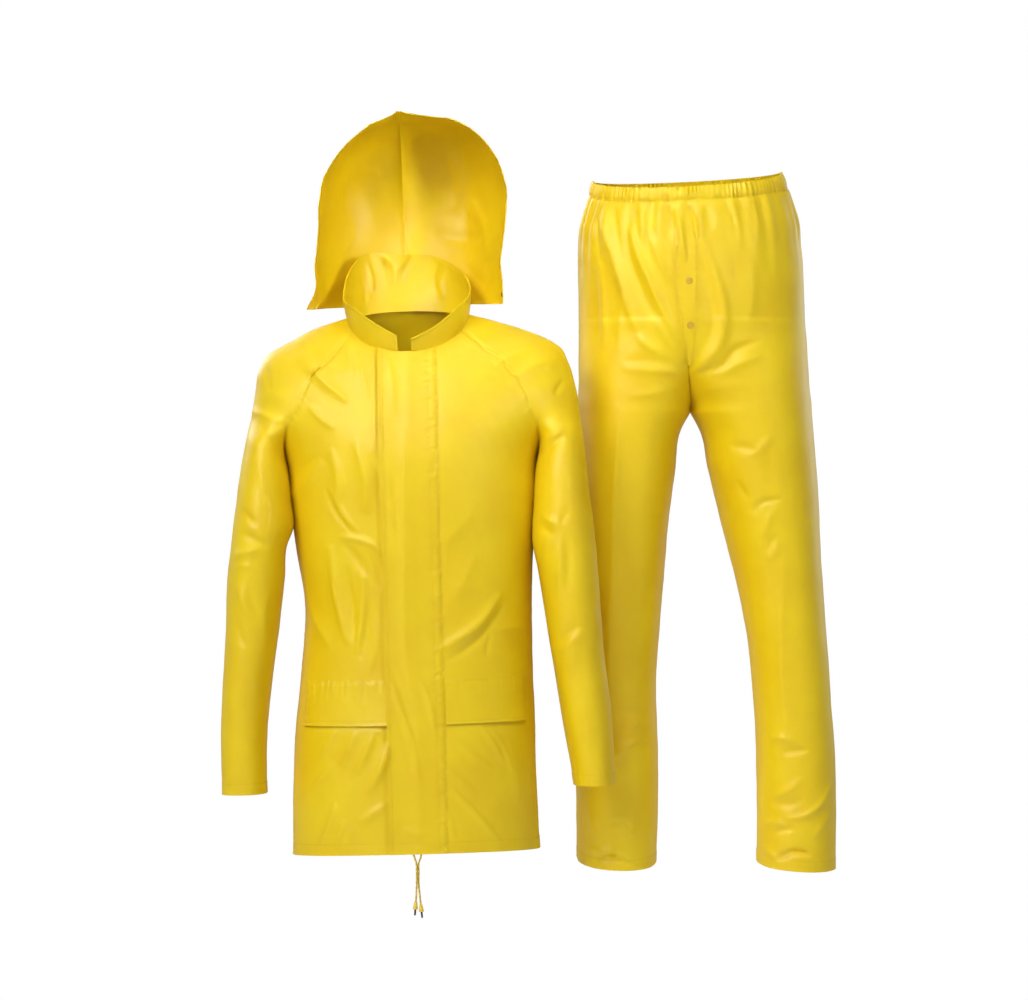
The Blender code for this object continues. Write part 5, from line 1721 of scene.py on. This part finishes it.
@dataclass
class Trousers:
    """The trousers: four panels, the gathered waist, the fly and its snaps."""

    finishes: Finishes
    form: TrouserForm = field(default_factory=TrouserForm)
    thread: Stitching = field(default_factory=lambda: Stitching("trouser_stitching"))
    fly_lift: float = 1.9
    hem_inset: float = 16.5
    waistband_cloth: float = 1.6
    panels: tuple[tuple[str, int, int, int, float], ...] = (
        ("front", -1, 0, 62, FRONT_STEP),
        ("back", 0, 1, 42, BACK_STEP),
    )

    def dress(self, cloth: Cloth) -> None:
        """Gives trouser cloth its creases and gathers.

        Args:
            cloth: the cloth of one trouser piece.
        """
        cloth.crease(TROUSERS_FRONT, Facing.FRONT)
        cloth.crease(TROUSERS_BEHIND, Facing.BEHIND)
        cloth.relief = cloth.relief + gather_height(cloth.points)
        cloth.loosen(0.6, 0.18)

    def build_panels(self) -> None:
        """The front and back panel of each half, from the waist seam to the hem."""
        seam, hem = Edge(EdgeKind.SEAM, pucker=0.35), HEM
        for side, seed in (("right", 47), ("left", 59)):
            for name, start, end, count, step in self.panels:
                heights = heights_between(WAISTBAND_BOTTOM, LEG_HEMS[side], step)
                places = column_angles(np.array([start]), np.array([end]), count)
                points = self.form.half(side, heights, places)
                cloth = Cloth.on(f"trouser_{name}_{side}_cloth", points, CLOTH, seed + count)
                self.dress(cloth)
                top = Edge(EdgeKind.SEAM, pucker=0.2)
                cloth.edges(first=seam, last=seam, top=top, bottom=hem)
                self.thread.sew(cloth, "bottom", (self.hem_inset,))
                lay_sheet(cloth, self.finishes, (f"trouser_{name}_{side}",))

    def build_waistband(self) -> None:
        """The casing of the elastic, gathered all round."""
        heights = heights_between(WAIST_TOP, WAISTBAND_BOTTOM, 2.4)
        right = self.form.half("right", heights, np.linspace(-1, 1, 201)[:-1])
        left = self.form.half("left", heights, np.linspace(1, -1, 201)[:-1])
        ring = np.concatenate([right, left], axis=1)
        points = np.concatenate([ring[:, -1:], ring, ring[:, :2]], axis=1)
        cloth = Cloth.on("waistband_cloth", points, self.waistband_cloth, 67)
        cloth.relief = cloth.relief + gather_height(cloth.points)
        down = cloth.down()
        cloth.relief = cloth.relief + 1.1 * np.sin(pi * np.clip(down / 20, 0, 1)) - 0.6
        fold = Edge(EdgeKind.FREE, pucker=0.2, lift=0.0)
        cloth.edges(first=NO_EDGE, last=NO_EDGE, top=fold,
                    bottom=Edge(EdgeKind.STITCHED, rows=(3.0,), pucker=0.3))
        self.thread.sew(cloth, "bottom", (3.0,))
        lay_sheet(cloth, self.finishes, ("waistband",), closed=True)

    def build_fly(self) -> None:
        """The fly's overlap and its two snaps."""
        heights = heights_between(FLY_TOP, FLY_BOTTOM, 3.0)
        fly = FLY.at(heights)
        offsets = column_angles(fly["right_edge"], fly["left_edge"], 22)
        cloth = Cloth.on("fly_flap_cloth", self.form.fly(heights, offsets), CLOTH, 83)
        self.dress(cloth)
        cloth.relief = cloth.relief + self.fly_lift
        cloth.edges(first=Edge(EdgeKind.FREE, rows=(4.0,), pucker=0.4, lift=1.6),
                    last=Edge(EdgeKind.STITCHED, rows=(3.0,), pucker=0.5))
        self.thread.sew(cloth, "first", (4.0,))
        self.thread.sew(cloth, "last", (3.0,))
        lay_sheet(cloth, self.finishes, ("fly_flap",))
        surface = cloth.surface()
        for name, (offset, height) in SNAPS.items():
            row = int(np.abs(heights - height).argmin())
            column = int(np.abs(offsets[row, 1:-1] - offset).argmin())
            self.build_snap(name, surface[row, column], cloth.normals[row, column])

    def build_snap(self, name: str, place: Array, normal: Array) -> None:
        """A pressed snap cap with a rolled rim and a dished middle.

        Args:
            name: the solid that it stands for.
            place: its middle on the fly.
            normal: the way that the fly faces there.
        """
        profile = ((-0.4, 1.0), (-0.4, 5.2), (0.3, 5.6), (1.2, 5.4), (1.7, 4.7), (1.6, 4.0), (1.2, 3.4),
                   (1.3, 1.6), (1.5, 0.4))
        piece = turned_piece(name + "_cap", place, normal, profile, 32)
        place_piece(piece, self.finishes.snap, (name,))

    def build(self) -> None:
        """The whole pair of trousers."""
        self.build_panels()
        self.build_waistband()
        self.build_fly()
        self.thread.build(self.finishes)


@dataclass
class HemCords:
    """The two free ends of the hem's drawcord, each with its stop and its tip."""

    finishes: Finishes
    sides: int = 14
    spacing: float = 0.9

    def route(self, side: str) -> Array:
        """Points along one cord's middle."""
        knots = np.array(HEM_CORDS[side], float)
        run = np.concatenate([[0.0], np.cumsum(np.linalg.norm(np.diff(knots, axis=0), axis=1))])
        return curve_through(run, knots, np.linspace(0, run[-1], int(run[-1] / self.spacing) + 1))

    def tube(self, name: str, path: Array) -> bpy.types.Object:
        """A braided tube along a path.

        Args:
            name: the piece's name.
            path: points of its middle, in millimetres.

        Returns:
            The object.
        """
        ahead = np.gradient(path, axis=0)
        ahead /= np.linalg.norm(ahead, axis=1)[:, None]
        aside = np.cross(ahead, [0.0, 1.0, 0.0])
        aside /= np.linalg.norm(aside, axis=1)[:, None]
        other = np.cross(ahead, aside)
        turns = np.linspace(0, 2 * pi, self.sides + 1)
        run = np.concatenate([[0.0], np.cumsum(np.linalg.norm(np.diff(path, axis=0), axis=1))])
        braid = 0.05 * np.sin(2 * pi * run[:, None] / 2.4 + 2 * turns) - 0.05
        radius = (CORD_DIAMETER / 2 + braid)[..., None]
        ring = np.cos(turns)[None, :, None] * aside[:, None] + np.sin(turns)[None, :, None] * other[:, None]
        points = path[:, None] + radius * ring
        index = np.arange(points.shape[0] * points.shape[1]).reshape(points.shape[:2])
        faces = ring_quads(index).tolist() + [index[0, :-1].tolist(), index[-1, :-1].tolist()]
        mesh = bpy.data.meshes.new(name)
        mesh.from_pydata((points.reshape(-1, 3) * MM).tolist(), [], faces)
        round_it = turns * CORD_DIAMETER / 2
        flat = np.stack(np.broadcast_arrays(run[:, None], round_it), axis=-1).reshape(-1, 2) * MM
        loops = np.zeros(len(mesh.loops), int)
        mesh.loops.foreach_get("vertex_index", loops)
        mesh.uv_layers.new(name="cut").data.foreach_set("uv", flat[loops].ravel())
        return finish_mesh(mesh)

    def build(self) -> None:
        """Both cords with what is on them."""
        for side in HEM_CORDS:
            upright = self.route(side)
            path = leaned(upright)
            direction = path[-1] - path[-2]
            direction /= np.linalg.norm(direction)
            cord = self.tube(f"hem_cord_{side}_braid", path)
            place_piece(cord, self.finishes.cord, (f"hem_cord_{side}",))
            start = path[-1] + CORD_GAP * direction
            bell = ((0.0, 1.2), (0.0, 1.9), (0.6, 2.3), (2.4, 2.35), (3.0, 2.6), (7.0, 3.1), (10.2, 3.7),
                    (11.0, 3.7), (11.0, 3.0), (10.0, 1.8))
            stop = turned_piece(f"cord_bell_{side}_stop", start, direction, bell)
            place_piece(stop, self.finishes.stop, (f"cord_bell_{side}",))
            start = start + (BELL_LENGTH + CORD_GAP) * direction
            tip_profile = ((-1.2, 1.2), (0.0, 1.45), (3.0, 1.5), (7.6, 1.4), (8.6, 1.1),
                           (TIP_LENGTH, 0.6))
            tip = turned_piece(f"cord_tip_{side}_end", start, direction, tip_profile)
            place_piece(tip, self.finishes.tip, (f"cord_tip_{side}",))


@dataclass
class Studio:
    """The camera, the soft lights and the pale floor."""

    floor_height: float = -1.35
    middle: tuple[float, float] = (0.19, 0.08)
    radius: float = 2.1
    soft_light: float = 0.3

    def build_camera(self) -> None:
        """The camera at the photograph's viewing angle."""
        data = bpy.data.cameras.new("photo_camera")
        data.sensor_fit = "HORIZONTAL"
        data.sensor_width = SENSOR
        data.lens = SENSOR * CAMERA_DISTANCE / (PHOTO_WIDTH * PIXEL)
        data.clip_end = 60.0
        camera = bpy.data.objects.new("photo_camera", data)
        camera.location = (CAMERA_ACROSS * MM, -CAMERA_DISTANCE * MM, CAMERA_HEIGHT * MM)
        camera.rotation_euler = (pi / 2, 0.0, 0.0)
        bpy.context.scene.collection.objects.link(camera)
        bpy.context.scene.camera = camera

    def build_floor(self) -> None:
        """A round pale floor, which lies below what the photograph's camera takes in."""
        turns = np.linspace(0, 2 * pi, 96, endpoint=False)
        x, y = self.middle
        rim = [(x + self.radius * cos(a), y + self.radius * sin(a), self.floor_height) for a in turns]
        mesh = bpy.data.meshes.new("studio_floor")
        mesh.from_pydata(rim, [], [list(range(len(rim)))])
        floor = bpy.data.objects.new("studio_floor", mesh)
        bpy.context.scene.collection.objects.link(floor)
        material, shader, _ = new_material("studio_white")
        shader.inputs["Base Color"].default_value = (0.93, 0.93, 0.93, 1.0)
        shader.inputs["Roughness"].default_value = 0.9
        shader.inputs["Specular IOR Level"].default_value = 0.1
        mesh.materials.append(material)

    def build_world(self) -> None:
        """Soft light from all round, in front of a plain white ground."""
        world = bpy.data.worlds.new("studio")
        world.use_nodes = True
        tree = world.node_tree
        soft = tree.nodes["Background"]
        soft.inputs["Color"].default_value = (1.0, 1.0, 1.0, 1.0)
        soft.inputs["Strength"].default_value = self.soft_light
        ground = tree.nodes.new("ShaderNodeBackground")
        ground.inputs["Color"].default_value = (1.0, 1.0, 1.0, 1.0)
        rays = tree.nodes.new("ShaderNodeLightPath")
        mixed = tree.nodes.new("ShaderNodeMixShader")
        tree.links.new(rays.outputs["Is Camera Ray"], mixed.inputs["Fac"])
        tree.links.new(soft.outputs["Background"], mixed.inputs[1])
        tree.links.new(ground.outputs["Background"], mixed.inputs[2])
        tree.links.new(mixed.outputs["Shader"], tree.nodes["World Output"].inputs["Surface"])
        bpy.context.scene.world = world

    def add_light(self, name: str, place: tuple[float, float, float], aim: tuple[float, float, float],
                  size: float, power_watts: float, spread: float = 180.0) -> None:
        """A square soft light.

        Args:
            name: the light's name.
            place: where it stands.
            aim: the point that it lights.
            size: the length of its sides.
            power_watts: its power.
            spread: how wide its beam is, in degrees.
        """
        data = bpy.data.lights.new(name, "AREA")
        data.shape = "SQUARE"
        data.size = size
        data.energy = power_watts
        data.spread = radians(spread)
        light = bpy.data.objects.new(name, data)
        light.location = place
        light.rotation_mode = "QUATERNION"
        light.rotation_quaternion = (Vector(aim) - Vector(place)).to_track_quat("-Z", "Y")
        bpy.context.scene.collection.objects.link(light)

    def build(self) -> None:
        """The lights, the world and the floor."""
        self.build_world()
        self.add_light("key", (-2.4, -3.8, 2.0), (0.15, 0.0, -0.3), 1.9, 138.0)
        self.add_light("fill", (3.4, -3.6, 0.4), (0.2, 0.0, -0.4), 2.6, 8.0)
        self.add_light("trouser_key", (-0.2, -3.8, 2.5), (0.5, 0.16, -0.3), 1.2, 1.9, 22.0)
        self.add_light("hood_light", (2.2, -2.6, 0.7), (-0.1, 0.1, 0.17), 0.6, 0.7, 14.0)
        self.add_light("top", (0.2, -0.6, 3.2), (0.2, 0.0, -0.3), 2.4, 36.0)
        self.add_light("behind_left", (-2.2, 3.4, 1.5), (0.2, 0.1, -0.3), 2.0, 62.0)
        self.add_light("behind_right", (3.0, 2.8, 0.6), (0.2, 0.1, -0.3), 2.0, 30.0)
        bpy.context.scene.view_settings.view_transform = "Standard"
        self.build_floor()


def main() -> None:
    """Builds the camera, the cords, every cloth piece and the studio."""
    logging.basicConfig(level=logging.INFO, format="%(name)s %(message)s")
    studio = Studio()
    studio.build_camera()
    finishes = Finishes()
    HemCords(finishes).build()
    Jacket(finishes).build()
    Hood(finishes).build()
    Trousers(finishes).build()
    studio.build()


if __name__ == "__main__":
    main()
